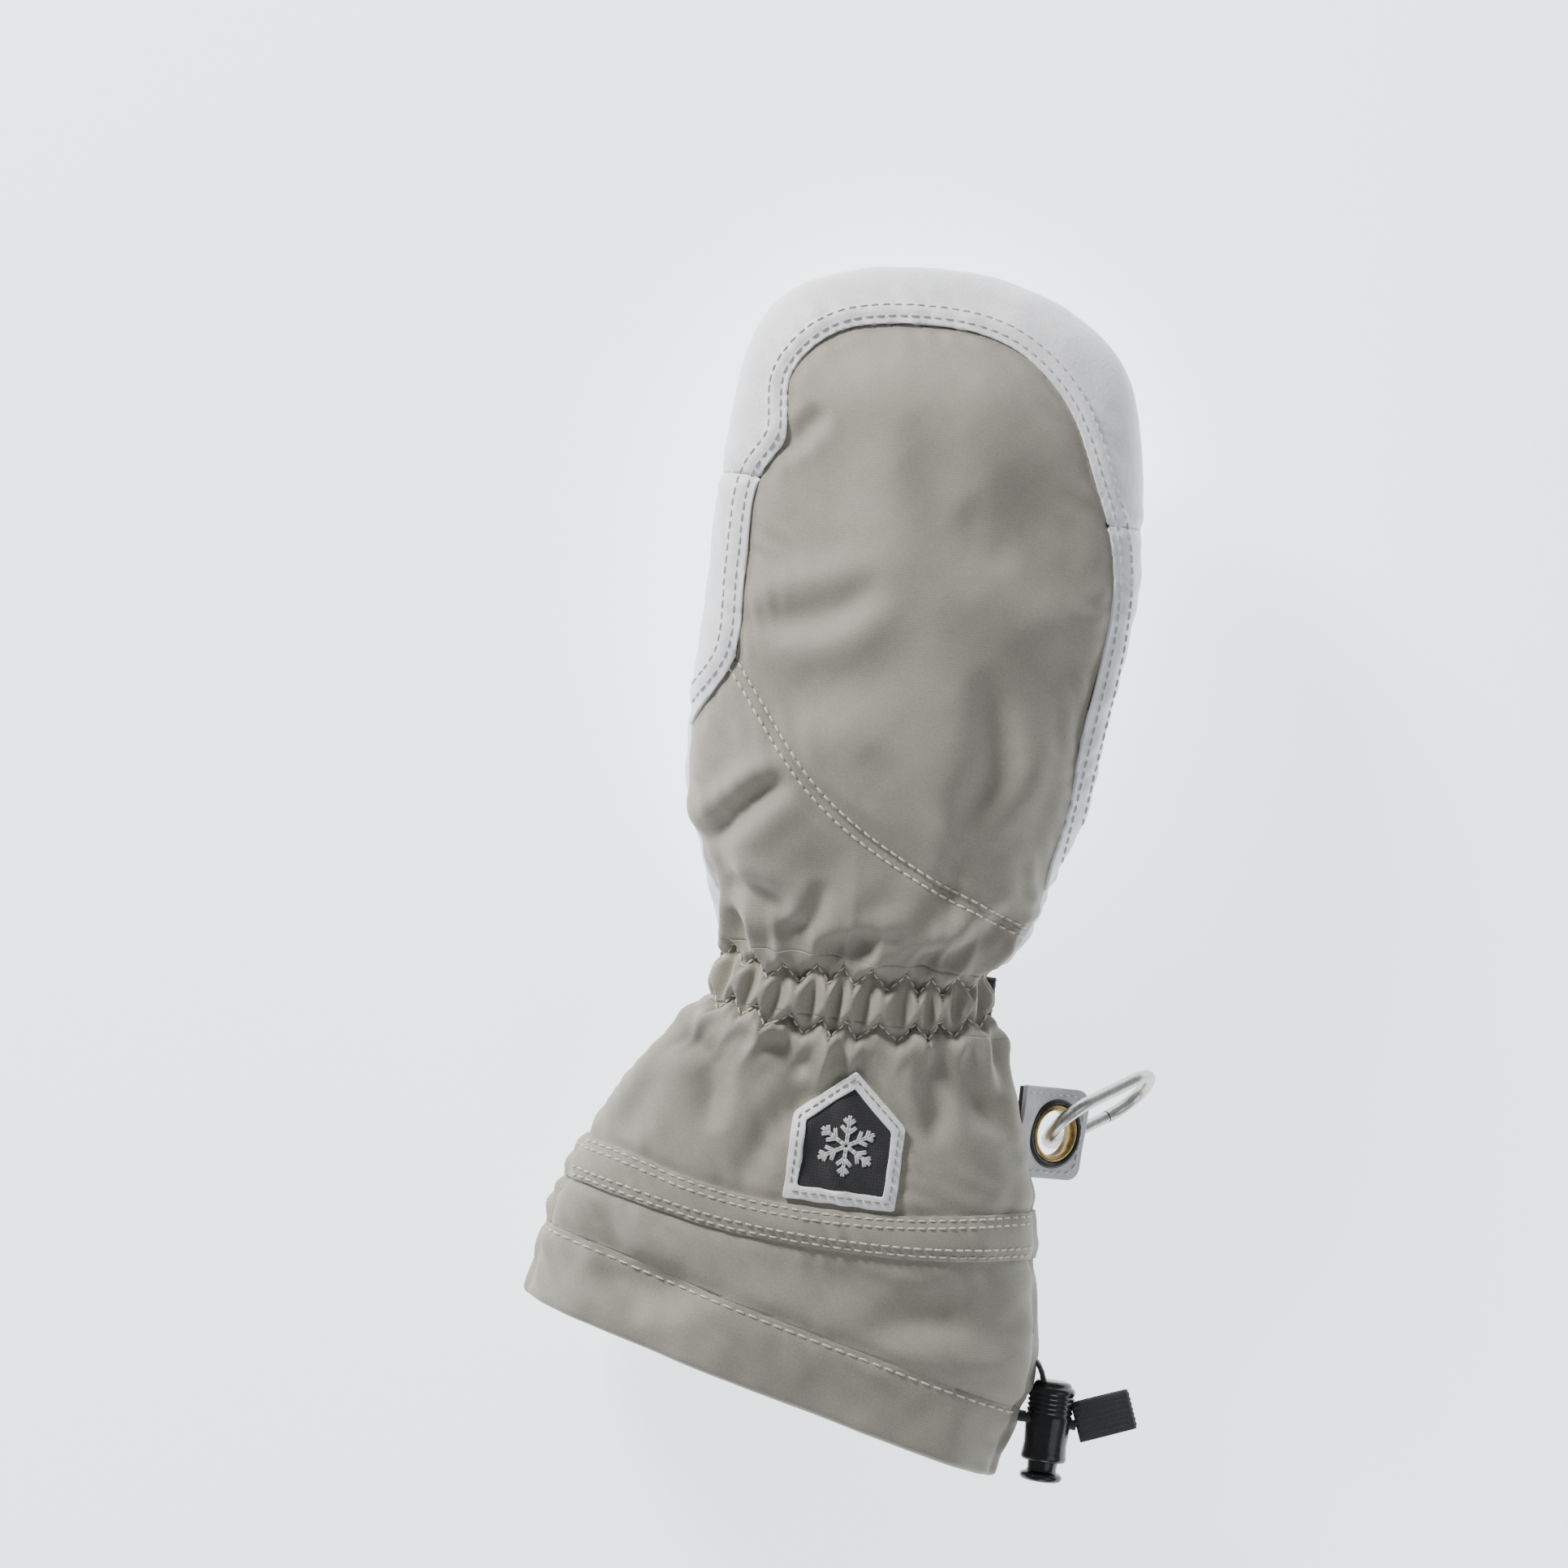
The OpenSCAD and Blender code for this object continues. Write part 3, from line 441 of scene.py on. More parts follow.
def turned(profile, steps):
    """Points round a profile of (radius, height) pairs."""
    a = np.linspace(0, 2 * math.pi, steps, endpoint=False)
    r, d = np.array(profile, float).T[..., None]
    return np.stack([r * np.cos(a), r * np.sin(a), d + 0 * a], -1)


def lathe(name, profile, centre):
    """A turned piece: profile is a list of (radius, distance along Y)."""
    g = turned(profile, 56)[..., [0, 2, 1]] + np.asarray(centre, float)
    return make_object(name, g.reshape(-1, 3), grid_faces(numbered(g)), weld=0.01)


def stitch_mesh(name, places, radius=0.3):
    """Short rounded stitches. places holds (middle, direction, normal, length)."""
    rings = [(-0.5, 0.35, -0.75), (-0.42, 0.85, -0.1), (-0.2, 1, 0.35)]
    rings += [(-at, wide, up) for at, wide, up in rings[::-1]]
    k = 6
    i = np.arange(len(rings) * k).reshape(-1, k)
    shell = list(grid_faces(i)) + [i[0][::-1], i[-1]]
    a = 2 * math.pi * np.arange(k)[:, None] / k
    verts, faces = [], []
    for c, t, n, length in places:
        t = t / max(np.linalg.norm(t), 1e-9)
        b = np.cross(n, t)
        b /= max(np.linalg.norm(b), 1e-9)
        n2 = np.cross(t, b)
        faces += [face + len(verts) for face in shell]
        for at, wide, up in rings:
            m = c + t * at * length + n2 * up * radius
            verts += list(m + radius * wide * (np.cos(a) * b + np.sin(a) * n2))
    return make_object(name, np.array(verts), faces)


def tree_of(*objs):
    verts, polys = [], []
    for o in objs:
        base = len(verts)
        verts += [v.co for v in o.data.vertices]
        polys += [[base + i for i in p.vertices] for p in o.data.polygons]
    return BVHTree.FromPolygons(verts, polys)


def drop(tree, x, y, up=True):
    """The point of a mesh straight above or below (x, y), and its normal."""
    p = (np.array([x, y, 150 if up else -50]) - ORIGIN) * 0.001
    hit, n, _, _ = tree.ray_cast(Vector(p), Vector((0, 0, -1 if up else 1)))
    if hit is None:
        return None
    n = np.array(n)
    if (n[2] > 0) != up:
        n = -n
    return np.array(hit) * 1000 + ORIGIN, n


def seam_places(tree, line, up=True, pitch=3.1, length=2.3, lift=0.12, keep=None):
    """Stitches along a line in plan, laid on a mesh."""
    line = np.asarray(line, float)
    along = lengths(line)
    fine = [drop(tree, *p, up) for p in along_path(np.arange(0, along[-1], 0.5), along, line)]
    runs, run = [], []
    for h in fine:
        kept = h is not None and (keep is None or keep(h[0]))
        if kept and (not run or np.linalg.norm(h[0] - run[-1][0]) < 3):
            run.append(h)
        else:
            runs.append(run)
            run = [h] if kept else []
    runs.append(run)
    places = []
    for run in runs:
        if len(run) < 6:
            continue
        p, n = np.array([h[0] for h in run]), np.array([h[1] for h in run])
        s = lengths(p)
        for at in np.arange(pitch * 0.6, s[-1] - pitch * 0.4, pitch):
            at += rng.normal() * 0.08
            c, a, b = along_path(np.array([at, at - length / 2, at + length / 2]), s, p)
            m = unit(along_path(at, s, n))
            aim = b - a + rng.normal(size=3) * 0.05
            places.append((c + m * lift, aim, m, length * rng.uniform(0.93, 1.05)))
    return places


def shifted(line, d):
    """A plan line moved d to its left."""
    line = np.asarray(line, float)
    t = unit(np.gradient(line, axis=0))
    return line + d * np.stack([-t[:, 1], t[:, 0]], 1)


# ---- Materials --------------------------------------------------------------------------------
def material(name, colour, rough=0.6, metal=0.0, sheen=0.0):
    m = bpy.data.materials.new(name)
    m.use_nodes = True
    b = m.node_tree.nodes["Principled BSDF"]
    b.inputs["Base Color"].default_value = (*colour, 1)
    b.inputs["Roughness"].default_value = rough
    b.inputs["Metallic"].default_value = metal
    b.inputs["Sheen Weight"].default_value = sheen
    b.inputs["Sheen Roughness"].default_value = 0.5
    return m


class Nodes:
    def __init__(self, m):
        self.t = m.node_tree
        self.b = self.t.nodes["Principled BSDF"]
        self.last = None

    def add(self, kind, **values):
        """A node, with sockets or settings by name. An underscore stands for a space."""
        n = self.t.nodes.new("ShaderNode" + kind)
        for k, v in values.items():
            k = k if hasattr(n, k) else k.replace("_", " ")
            if k in n.inputs:
                n.inputs[k].default_value = v
            else:
                setattr(n, k, v)
        return n

    def link(self, a, b):
        self.t.links.new(a, b)

    def coords(self, uv=False, scale=(1, 1, 1)):
        c = self.add("TexCoord")
        m = self.add("Mapping", Scale=scale)
        self.link(c.outputs["UV" if uv else "Object"], m.inputs["Vector"])
        return m.outputs["Vector"]

    def noise(self, vector, scale, detail=3.0, rough=0.5, distortion=0.0):
        n = self.add("TexNoise", Scale=scale, Detail=detail, Roughness=rough, Distortion=distortion)
        self.link(vector, n.inputs["Vector"])
        return n.outputs["Fac"]

    def bump(self, height, distance_mm, strength=1.0):
        n = self.add("Bump", Strength=strength, Distance=distance_mm * 0.001)
        self.link(height, n.inputs["Height"])
        if self.last:
            self.link(self.last, n.inputs["Normal"])
        self.last = n.outputs["Normal"]
        self.link(self.last, self.b.inputs["Normal"])

    def ramp(self, fac, low, high, a=0.3, b=0.7):
        n = self.add("ValToRGB")
        for stop, place, colour in zip(n.color_ramp.elements, (a, b), (low, high)):
            stop.position, stop.color = place, (*colour, 1)
        self.link(fac, n.inputs["Fac"])
        return n.outputs["Color"]

    def colour(self, socket):
        self.link(socket, self.b.inputs["Base Color"])

    def rough(self, fac, low, high):
        n = self.add("MapRange", To_Min=low, To_Max=high)
        self.link(fac, n.inputs["Value"])
        self.link(n.outputs["Result"], self.b.inputs["Roughness"])

    def weave(self, vector, pitch_u, pitch_v, distance_mm, strength):
        waves = []
        for k, pitch in ((0, pitch_u), (1, pitch_v)):
            w = self.add("TexWave", wave_type="BANDS", bands_direction="X" if k == 0 else "Y",
                         Scale=0.314 / pitch, Distortion=0.6, Detail=1.0)
            self.link(vector, w.inputs["Vector"])
            waves.append(w.outputs["Fac"])
        m = self.add("Math", operation="MULTIPLY")
        self.link(waves[0], m.inputs[0])
        self.link(waves[1], m.inputs[1])
        self.bump(m.outputs[0], distance_mm, strength)


def fabric_material(name):
    m = material(name, (0.37, 0.35, 0.29), 0.72, sheen=0.25)
    n = Nodes(m)
    uv, obj = n.coords(uv=True), n.coords()
    n.weave(uv, 0.55, 0.7, 0.05, 0.55)
    speck = n.noise(obj, 1900, 3, 0.7)
    cloud = n.noise(obj, 55, 3, 0.55)
    n.bump(speck, 0.06, 0.5)
    n.bump(n.noise(obj, 300, 3, 0.55), 0.12, 0.35)
    mix = n.add("Mix", data_type="RGBA")
    mix.inputs[0].default_value = 0.35
    n.link(n.ramp(speck, (0.250, 0.235, 0.190), (0.335, 0.318, 0.264), 0.36, 0.64), mix.inputs[6])
    n.link(n.ramp(cloud, (0.270, 0.254, 0.207), (0.312, 0.295, 0.244)), mix.inputs[7])
    n.colour(mix.outputs[2])
    n.rough(speck, 0.62, 0.82)
    return m


def leather_material(name, low, high, rough):
    m = material(name, high, rough)
    n = Nodes(m)
    obj = n.coords()
    v = n.add("TexVoronoi", feature="SMOOTH_F1", Scale=950, Smoothness=0.6)
    warp = n.noise(obj, 380, 2, 0.5)
    n.link(obj, v.inputs["Vector"])
    n.bump(v.outputs["Distance"], 0.16, 0.45)
    n.bump(n.noise(n.coords(scale=(1, 0.45, 1)), 300, 4, 0.62, 0.6), 0.35, 0.5)
    n.bump(n.noise(n.coords(scale=(0.5, 1, 1)), 90, 2, 0.5, 0.8), 0.7, 0.35)
    n.colour(n.ramp(n.noise(obj, 70, 4, 0.6), low, high, 0.3, 0.62))
    n.rough(warp, rough - 0.07, rough + 0.12)
    return m


def webbing_material(name, colour, rough=0.6, hair=0.0):
    m = material(name, colour, rough, sheen=0.15 + hair)
    n = Nodes(m)
    uv, obj = n.coords(uv=True), n.coords()
    n.weave(uv, 0.8, 0.8, 0.09, 0.8)
    fuzz = n.noise(obj, 2600 if not hair else 1500, 4, 0.75)
    n.bump(fuzz, 0.05 + hair * 0.5, 0.7)
    low, high = ([c * k + d for c in colour] for k, d in ((0.6, 0), (1.9, 0.004)))
    n.colour(n.ramp(fuzz, low, high, 0.35, 0.68))
    n.rough(fuzz, rough - 0.12, rough + 0.15)
    return m


def cloth_material(name, low, high, pitch, rough=0.8):
    m = material(name, high, rough, sheen=0.3)
    n = Nodes(m)
    obj = n.coords()
    fuzz = n.noise(obj, 1 / (pitch * 0.001), 4, 0.7)
    n.bump(fuzz, 0.25, 0.6)
    n.colour(n.ramp(fuzz, low, high, 0.35, 0.65))
    n.rough(fuzz, rough - 0.1, min(rough + 0.1, 1))
    return m


def hard_material(name, low, high, rough, metal, grain=(1, 1, 1), scale=700, distance=0.03):
    m = material(name, high, rough, metal)
    n = Nodes(m)
    brush = n.noise(n.coords(scale=grain), scale, 4, 0.6)
    n.bump(brush, distance, 0.5)
    n.colour(n.ramp(brush, low, high, 0.3, 0.7))
    n.rough(n.noise(n.coords(), 240, 3, 0.6), rough - 0.07, rough + 0.1)
    return m


LOOKS = {
    "shell_fabric": (fabric_material,),
    "white_leather": (leather_material, (0.80, 0.80, 0.83), (0.88, 0.88, 0.905), 0.44),
    "tab_leather": (leather_material, (0.42, 0.42, 0.42), (0.56, 0.56, 0.56), 0.5),
    "liner_cloth": (cloth_material, (0.55, 0.53, 0.48), (0.72, 0.70, 0.65), 0.9),
    "padding_fibre": (cloth_material, (0.72, 0.72, 0.70), (0.9, 0.9, 0.88), 1.6),
    "elastic": (cloth_material, (0.6, 0.6, 0.58), (0.8, 0.8, 0.78), 0.6),
    "lining_cloth": (cloth_material, (0.016, 0.016, 0.018), (0.035, 0.035, 0.038), 0.5, 0.6),
    "webbing": (webbing_material, (0.017, 0.017, 0.018)),
    "loop_tape": (webbing_material, (0.02, 0.02, 0.02), 0.85, 0.4),
    "hook_tape": (webbing_material, (0.015, 0.015, 0.015), 0.45),
    "label_cloth": (webbing_material, (0.012, 0.012, 0.014), 0.7),
    "brass": (hard_material, (0.20, 0.13, 0.05), (0.42, 0.29, 0.12), 0.34, 1.0),
    "black_metal": (hard_material, (0.012, 0.012, 0.012), (0.03, 0.03, 0.03), 0.35, 0.4),
    "steel": (hard_material, (0.40, 0.39, 0.36), (0.62, 0.61, 0.58), 0.32, 1.0, (1, 0.25, 1), 1500),
    "ring_metal": (hard_material, (0.10, 0.10, 0.10), (0.22, 0.22, 0.22), 0.34, 0.9),
    "black_plastic": (hard_material, (0.008, 0.008, 0.009), (0.016, 0.016, 0.017), 0.2, 0.0, (1, 1, 1), 900),
    "cord_elastic": (webbing_material, (0.02, 0.02, 0.02), 0.7),
}
MATS = {name: make(name, *look) for name, (make, *look) in LOOKS.items()}
THREAD = cloth_material("thread_cream", (0.55, 0.52, 0.42), (0.78, 0.75, 0.64), 0.3, 0.7)
THREAD_WHITE = cloth_material("thread_white", (0.50, 0.50, 0.50), (0.70, 0.70, 0.71), 0.3, 0.7)
THREAD_GREY = cloth_material("thread_grey", (0.24, 0.23, 0.19), (0.36, 0.34, 0.29), 0.3, 0.75)


def finish_piece(obj, slot, body, *nodes, mat=None):
    obj.data.materials.clear()
    obj.data.materials.append(mat or MATS[slot])
    if body:
        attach(obj, body)
    if nodes:
        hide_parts(*nodes)
    return obj


# ---- The hand's shell -----------------------------------------------------------------------
def panel(name, slot, body, node, grid, field, raised=0.0, thickness=1.4, stride=1):
    """Cuts a piece from a grid of points, normals and UV, and lets it stand for its node."""
    return finish_piece(cut_panel(name, *grid, field, raised, thickness, stride), slot, body, node)


def cloth_shift(table, spacing, m, pins):
    """Blows a coarse shell up a little as pinned cloth. Returns how far each point moved."""
    P, t = loft_grid(table, spacing, m)
    verts = P[:, :-1].reshape(-1, 3)
    faces = grid_faces(numbered(P[:, :-1]))[:, [0, 3, 2, 1]]
    obj = make_object("cloth_trial", verts, faces)
    weights = pins(P[:, :-1]).reshape(-1)
    group = obj.vertex_groups.new(name="pin")
    for k in range(1, 21):
        index = np.where(np.round(weights * 20).astype(int) == k)[0]
        if len(index):
            group.add([int(v) for v in index], k / 20, "REPLACE")
    c = obj.modifiers.new("cloth", "CLOTH")
    s = c.settings
    s.quality, s.mass, s.air_damping = 6, 0.15, 2
    s.tension_stiffness, s.compression_stiffness = 12, 8
    s.shear_stiffness, s.bending_stiffness = 3, 0.25
    s.use_pressure, s.uniform_pressure_force = True, 1.5
    s.vertex_group_mass, s.pin_stiffness = "pin", 1.0
    s.shrink_min = -0.05
    s.effector_weights.gravity = 0
    c.collision_settings.use_collision = False
    scene = bpy.context.scene
    for f in range(1, 19):
        scene.frame_set(f)
    e = obj.evaluated_get(bpy.context.evaluated_depsgraph_get())
    co = np.zeros(len(verts) * 3)
    e.data.vertices.foreach_get("co", co)
    moved = co.reshape(-1, 3) * 1000 + ORIGIN - verts
    scene.frame_set(1)
    bpy.data.objects.remove(obj)
    size = np.linalg.norm(moved, axis=1, keepdims=True)
    moved *= np.minimum(1, 5.0 / np.maximum(size, 1e-9))
    moved = moved.reshape(-1, m, 3)
    for _ in range(7):      # keep the swelling, drop the ripple of the coarse mesh
        moved = (np.roll(moved, 1, 1) + 2 * moved + np.roll(moved, -1, 1)) / 4
        moved[1:-1] = (moved[:-2] + 2 * moved[1:-1] + moved[2:]) / 4
    return np.concatenate([moved, moved[:, :1]], 1), t


def spread(D, t_from, t_to, cols):
    """Carries a coarse field over to a finer grid, along smooth curves both ways."""
    r = np.interp(t_to, t_from, np.arange(len(t_from)))
    a = catmull(D.reshape(len(t_from), -1), r).reshape(len(t_to), D.shape[1], 3)
    m = D.shape[1] - 1
    wrap = np.concatenate([a[:, -2:-1], a, a[:, 1:2]], 1)
    c = np.linspace(0, m, cols + 1) + 1
    i = np.clip(c.astype(int), 1, m)
    f = (c - i)[None, :, None]
    p0, p1, p2, p3 = wrap[:, i - 1], wrap[:, i], wrap[:, i + 1], wrap[:, np.minimum(i + 2, m + 2)]
    p3 = np.where((i + 2 > m + 2)[None, :, None], wrap[:, 2:3], p3)
    curve = 2 * p1 + (p2 - p0) * f + (2 * p0 - 5 * p1 + 4 * p2 - p3) * f ** 2
    return 0.5 * (curve + (3 * p1 - p0 - 3 * p2 + p3) * f ** 3)


FINE = 1.05
COLS = 320
P0, T0 = loft_grid(SECTIONS, FINE, COLS)
F0 = Fields(P0)
U0 = np.broadcast_to(np.linspace(0, 1, COLS + 1), P0.shape[:2])
N0 = grid_normals(P0)
UV0 = np.stack([U0 * 300, P0[..., 1]], -1)


def hand_pins(P):
    f = Fields(P)
    pin = np.zeros(f.x.shape)
    for d in (f.fabric * (f.hand > 0), f.g1, f.g2, f.band, f.hem - HEM_H, f.hem, f.cuff_seam, f.label,
              np.where(f.top > 0.5, f.cross, 50), np.where(f.top < 0.5, f.palm, 50)):
        pin = np.maximum(pin, np.clip(1.4 - np.abs(d) / 2.6, 0, 1))
    pin = np.maximum(pin, 0.35 * (f.fabric < 0) * (f.hand > 0))
    pin = np.maximum(pin, np.clip((f.y - 180) / 6, 0, 1))
    pin = np.maximum(pin, np.clip((HEM_H + 1 - f.hem) / 3, 0, 1))
    pin = np.maximum(pin, np.clip(f.label / 2, 0, 1))
    return pin


H0 = shape(P0, F0, U0)
shift = np.zeros(P0.shape)
D, tD = cloth_shift(SECTIONS, 3.0, 104, hand_pins)
shift = spread(D, tD, T0, COLS)
P1 = P0 + shift
fade_tip = step((190.5 - P0[..., 1]) / 6)
P1 = P1 + N0 * (H0 * fade_tip)[..., None]
P1[..., 2] = np.maximum(P1[..., 2], 0.4)       # nothing sinks into the table
P1[:, -1] = P1[:, 0]
N1 = grid_normals(P1)
N1 = unit(N1 + 0.5 * N0)
HAND = (P1, N1, UV0)

lo = np.minimum
above = F0.y - WRIST_TOP
wrist = lo(WRIST_TOP - F0.y, F0.y - WRIST_LOW)
cuff = lo(WRIST_LOW - F0.y, F0.hem - HEM_H)
side_strip = lo(lo(-F0.fabric, HOOD_Y - F0.y), lo(F0.z - SPLIT_Z, above))
lower_half = lo(HOOD_Y - F0.y, SPLIT_Z - F0.z)
LEATHER_LIFT = 0.75
made = {}
for name, slot, field, raised in (
        ("back_panel", "shell_fabric", lo(lo(F0.fabric, F0.cross), above), 0),
        ("lower_back_panel", "shell_fabric", lo(lo(F0.fabric, -F0.cross), above), 0),
        ("tip_band", "white_leather", lo(lo(F0.y - HOOD_Y, -F0.fabric), -F0.palm), LEATHER_LIFT),
        ("index_side_strip", "white_leather", lo(side_strip, -F0.x), LEATHER_LIFT),
        ("outer_side_strip", "white_leather", lo(side_strip, F0.x), LEATHER_LIFT),
        ("palm_panel", "white_leather", lo(lo(np.maximum(F0.palm, lower_half), above), F0.hole), 0.6),
        ("wrist_panel", "shell_fabric", wrist, 0),
        ("cuff_back_panel", "shell_fabric", lo(cuff, F0.cuff_seam), 0),
        ("cuff_palm_panel", "shell_fabric", lo(cuff, -F0.cuff_seam), 0),
        ("cuff_band", "shell_fabric", F0.band, 0.75)):
    thickness = 0.9 if name == "cuff_band" else 1.4
    made[name] = panel("skin_" + name, slot, "shell", name, HAND, field, raised, thickness)

# layers inside the shell follow its folds: share of the folds, depth, thickness, fill
gloved = lo(above, F0.hole - 0.6)
for name, slot, field, share, depth, thickness, fill in (
        ("padding", "padding_fibre", gloved, 0.85, 1.9, 4.2, 0.7),
        ("hand_liner", "liner_cloth", gloved, 0.5, 6.6, 1.1, 0.3),
        ("wrist_elastic", "elastic", wrist, 0.85, 1.8, 0.9, None),
        ("cuff_lining", "lining_cloth", cuff, 0.85, 1.9, 0.9, None)):
    base = P0 + (P1 - P0) * share
    base[..., 1] -= depth * step((P0[..., 1] - 168) / 20)
    obj = panel("inner_" + name, slot, "shell", name, (base, N0, UV0), field, -depth, thickness, 2)

# ---- Hem: cloth turned under round the cord, with its inner side up the inside --------------
top_rows = max(r for r in range(len(T0)) if F0.hem[r].min() < HEM_H + 2) + 1
up_hem = np.append(HEM_UP, 0)
flat_n = unit(N0 - (N0 @ up_hem)[..., None] * up_hem)
turn = [P1[0] - flat_n[0] * 2.6 * (1 - math.cos(a)) - up_hem * 1.6 * math.sin(a)
        for a in np.linspace(0, math.pi, 9)[1:]]
inside_at = [int(k * (top_rows - 1) / 14) for k in range(1, 15)]
inside = P1[inside_at] * 0.35 + P0[inside_at] * 0.65 - flat_n[inside_at] * 5.2
hem_grid = np.concatenate([P1[:top_rows][::-1], turn, inside])[::-1]
hem_grid[..., 2] = np.maximum(hem_grid[..., 2], 0.35)
hem_field = np.concatenate([HEM_H - F0.hem[:top_rows][::-1], np.full((len(turn), COLS + 1), 5.0),
                            HEM_H - F0.hem[inside_at]])[::-1]
hem_uv = np.stack(np.broadcast_arrays(U0[0] * 300, np.arange(len(hem_field))[::-1, None] * 1.0), -1)
made["hem_sleeve"] = panel("skin_hem_sleeve", "shell_fabric", "shell", "hem_sleeve",
                           (hem_grid, grid_normals(hem_grid), hem_uv), hem_field, 0, 1.0)

# ---- Label ---------------------------------------------------------------------------------
label_top = np.where(F0.z > 40, F0.label, -20)
clear_of_band = line_gap(F0.x, F0.y, BAND_TOP) + 0.6
made["label_frame"] = panel("skin_label_frame", "white_leather", "shell", "label_frame", HAND,
                            lo(lo(label_top, 3.6 - F0.label), clear_of_band), 1.5, 1.2)
made["label_field"] = panel("skin_label_field", "label_cloth", "shell", "label_field", HAND,
                            lo(label_top - 3.2, clear_of_band), 1.0, 0.8)
label_tree = tree_of(made["label_frame"], made["label_field"])

# a plain snowflake of thread: six arms, each with two pairs of twigs
flake = []
c = LABEL_AT + np.array([0, -2.2])
for arm in range(6):
    a = math.radians(60 * arm + 30)
    d, s = np.array([math.cos(a), math.sin(a)]), np.array([-math.sin(a), math.cos(a)])
    lines = [(c + d * 0.4, c + d * 8.2)]
    for at, size in ((3.4, 2.6), (5.9, 1.9)):
        lines += [(c + d * at, c + d * (at + size * 0.7) + s * size * 0.75 * turn) for turn in (-1, 1)]
    for p, q in lines:
        length = np.linalg.norm(q - p)
        count = max(int(length / 1.5), 1)
        beside = np.array([-(q - p)[1], (q - p)[0]]) / length
        for k in range(count):
            for lane in (-0.28, 0.28):
                hit = drop(label_tree, *(p + (q - p) * (k + 0.5) / count + beside * lane))
                if hit:
                    flake.append((hit[0] + hit[1] * 0.12, np.append(q - p, 0), hit[1], length / count * 1.12))
finish_piece(stitch_mesh("label_art", flake, 0.3), "white_leather", "shell", mat=THREAD_WHITE)

# ---- Thumb ----------------------------------------------------------------------------------
TP0, _ = loft_grid(THUMB, FINE, 150)
TN0 = grid_normals(TP0)
tx, ty, tz = TP0[..., 0], TP0[..., 1], TP0[..., 2]
TU = np.broadcast_to(np.linspace(0, 1, 151), tx.shape)
THUMB_SEAM = spline([[-10, -20], [-24, 12], [-31, 50], [-27, 85], [-22, 112], [-17, 127], [-9, 127],
    [-3.5, 108], [-1, 85], [2, 50], [3, 12], [6, -20]])
t_fabric = lo(from_line(tx, ty, THUMB_SEAM, closed=True), 12 - tz)
t_hole = np.where(tz > 14, hole_gap(tx, ty), 50)
th = 0.5 * wobble(tx, ty, tz, 30, 51) + 0.25 * wobble(tx, ty, tz, 12, 52) - 0.9 * bell(t_fabric, 2.2)
pleats = np.sin(2 * math.pi * 13 * TU + 1.5 * wobble(tx, ty, tz, 30, 53))
th += 1.3 * np.exp(-np.maximum(ty - 14, 0) / 14) * pleats
for line, depth, width in (([[-34, 50], [-20, 58], [-8, 52]], 1.2, 5),
                           ([[-30, 92], [-18, 96], [-4, 92]], 0.9, 5),
                           ([[-34, 28], [-24, 36], [-16, 34]], 1.4, 4),
                           ([[2, 30], [-6, 42], [-4, 56]], 1.2, 4)):
    th += fold(tx, ty, line, depth, width)
TP1 = TP0 + TN0 * (th * step((130.5 - ty) / 5))[..., None]
TP1[..., 2] = np.maximum(TP1[..., 2], 0.3)
TP1[..., 2] = np.where(TN0[..., 2] > 0, np.minimum(TP1[..., 2], 25.4), TP1[..., 2])
TP1[:, -1] = TP1[:, 0]
t_uv = np.stack([TU * 120, ty], -1)
THUMB_SKIN = (TP1, grid_normals(TP1), t_uv)
made["thumb_fabric"] = panel("skin_thumb_fabric", "shell_fabric", "thumb", "thumb_fabric",
                             THUMB_SKIN, lo(t_fabric, t_hole), 0, 1.3)
made["thumb_leather"] = panel("skin_thumb_leather", "white_leather", "thumb", "thumb_leather",
                              THUMB_SKIN, lo(-t_fabric, t_hole), 0.5, 1.5)
panel("inner_thumb_liner", "liner_cloth", "thumb", "thumb_liner",
      (TP0 + (TP1 - TP0) * 0.8, TN0, t_uv), t_hole - 0.5, -1.8, 1.0, 2)

# gusset: a soft leather collar from the palm down to the thumb
g_rows = []
a = np.linspace(0, 2 * math.pi, 97)
for k, (z, r) in enumerate([(32.5, 12.4), (31, 13.6), (29, 14.6), (27.4, 14.2),
                            (26.4, 15.2), (25.0, 15.6), (23.6, 14.6), (22.6, 12.6)]):
    r = r + 0.5 * np.sin(9 * a + k * 0.4) * (0.4 + 0.1 * k) + 0.3 * np.sin(17 * a + k)
    g_rows.append(np.stack([THUMB_HOLE[0] + r * np.cos(a), THUMB_HOLE[1] + r * np.sin(a), 0 * a + z], 1))
g_grid = spline(np.array(g_rows).reshape(8, -1), 3).reshape(-1, 97, 3)
g_uv = np.stack(np.broadcast_arrays(np.linspace(0, 90, 97), np.arange(len(g_grid))[:, None] * 0.5), -1)
gusset = cut_panel("skin_thumb_gusset", g_grid, grid_normals(g_grid), g_uv,
                   np.ones(g_grid.shape[:2]), 0, 0.8)
finish_piece(gusset, "white_leather", None, "thumb_gusset")


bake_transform(gusset)

# ---- Seams ----------------------------------------------------------------------------------
SHARED = ("tip_band", "wrist_panel", "hem_sleeve", "cuff_band")
TOP_ONLY = ("back_panel", "lower_back_panel", "index_side_strip", "outer_side_strip", "cuff_back_panel")
top = tree_of(*(made[k] for k in SHARED + TOP_ONLY))
bottom = tree_of(*(made[k] for k in SHARED + ("palm_panel", "cuff_palm_panel")))


def on_back(p):
    return p[2] > 44


def on_fabric(p):
    return p[2] > SPLIT_Z and from_line(*p[:2, None], FABRIC_ZONE, True)[0] > 0


def off_label(p):
    return p[2] < 35 or label_gap(*p[:2, None])[0] < -0.6


def thumb_front(p):
    return p[2] < 12.5 and p[1] > 12


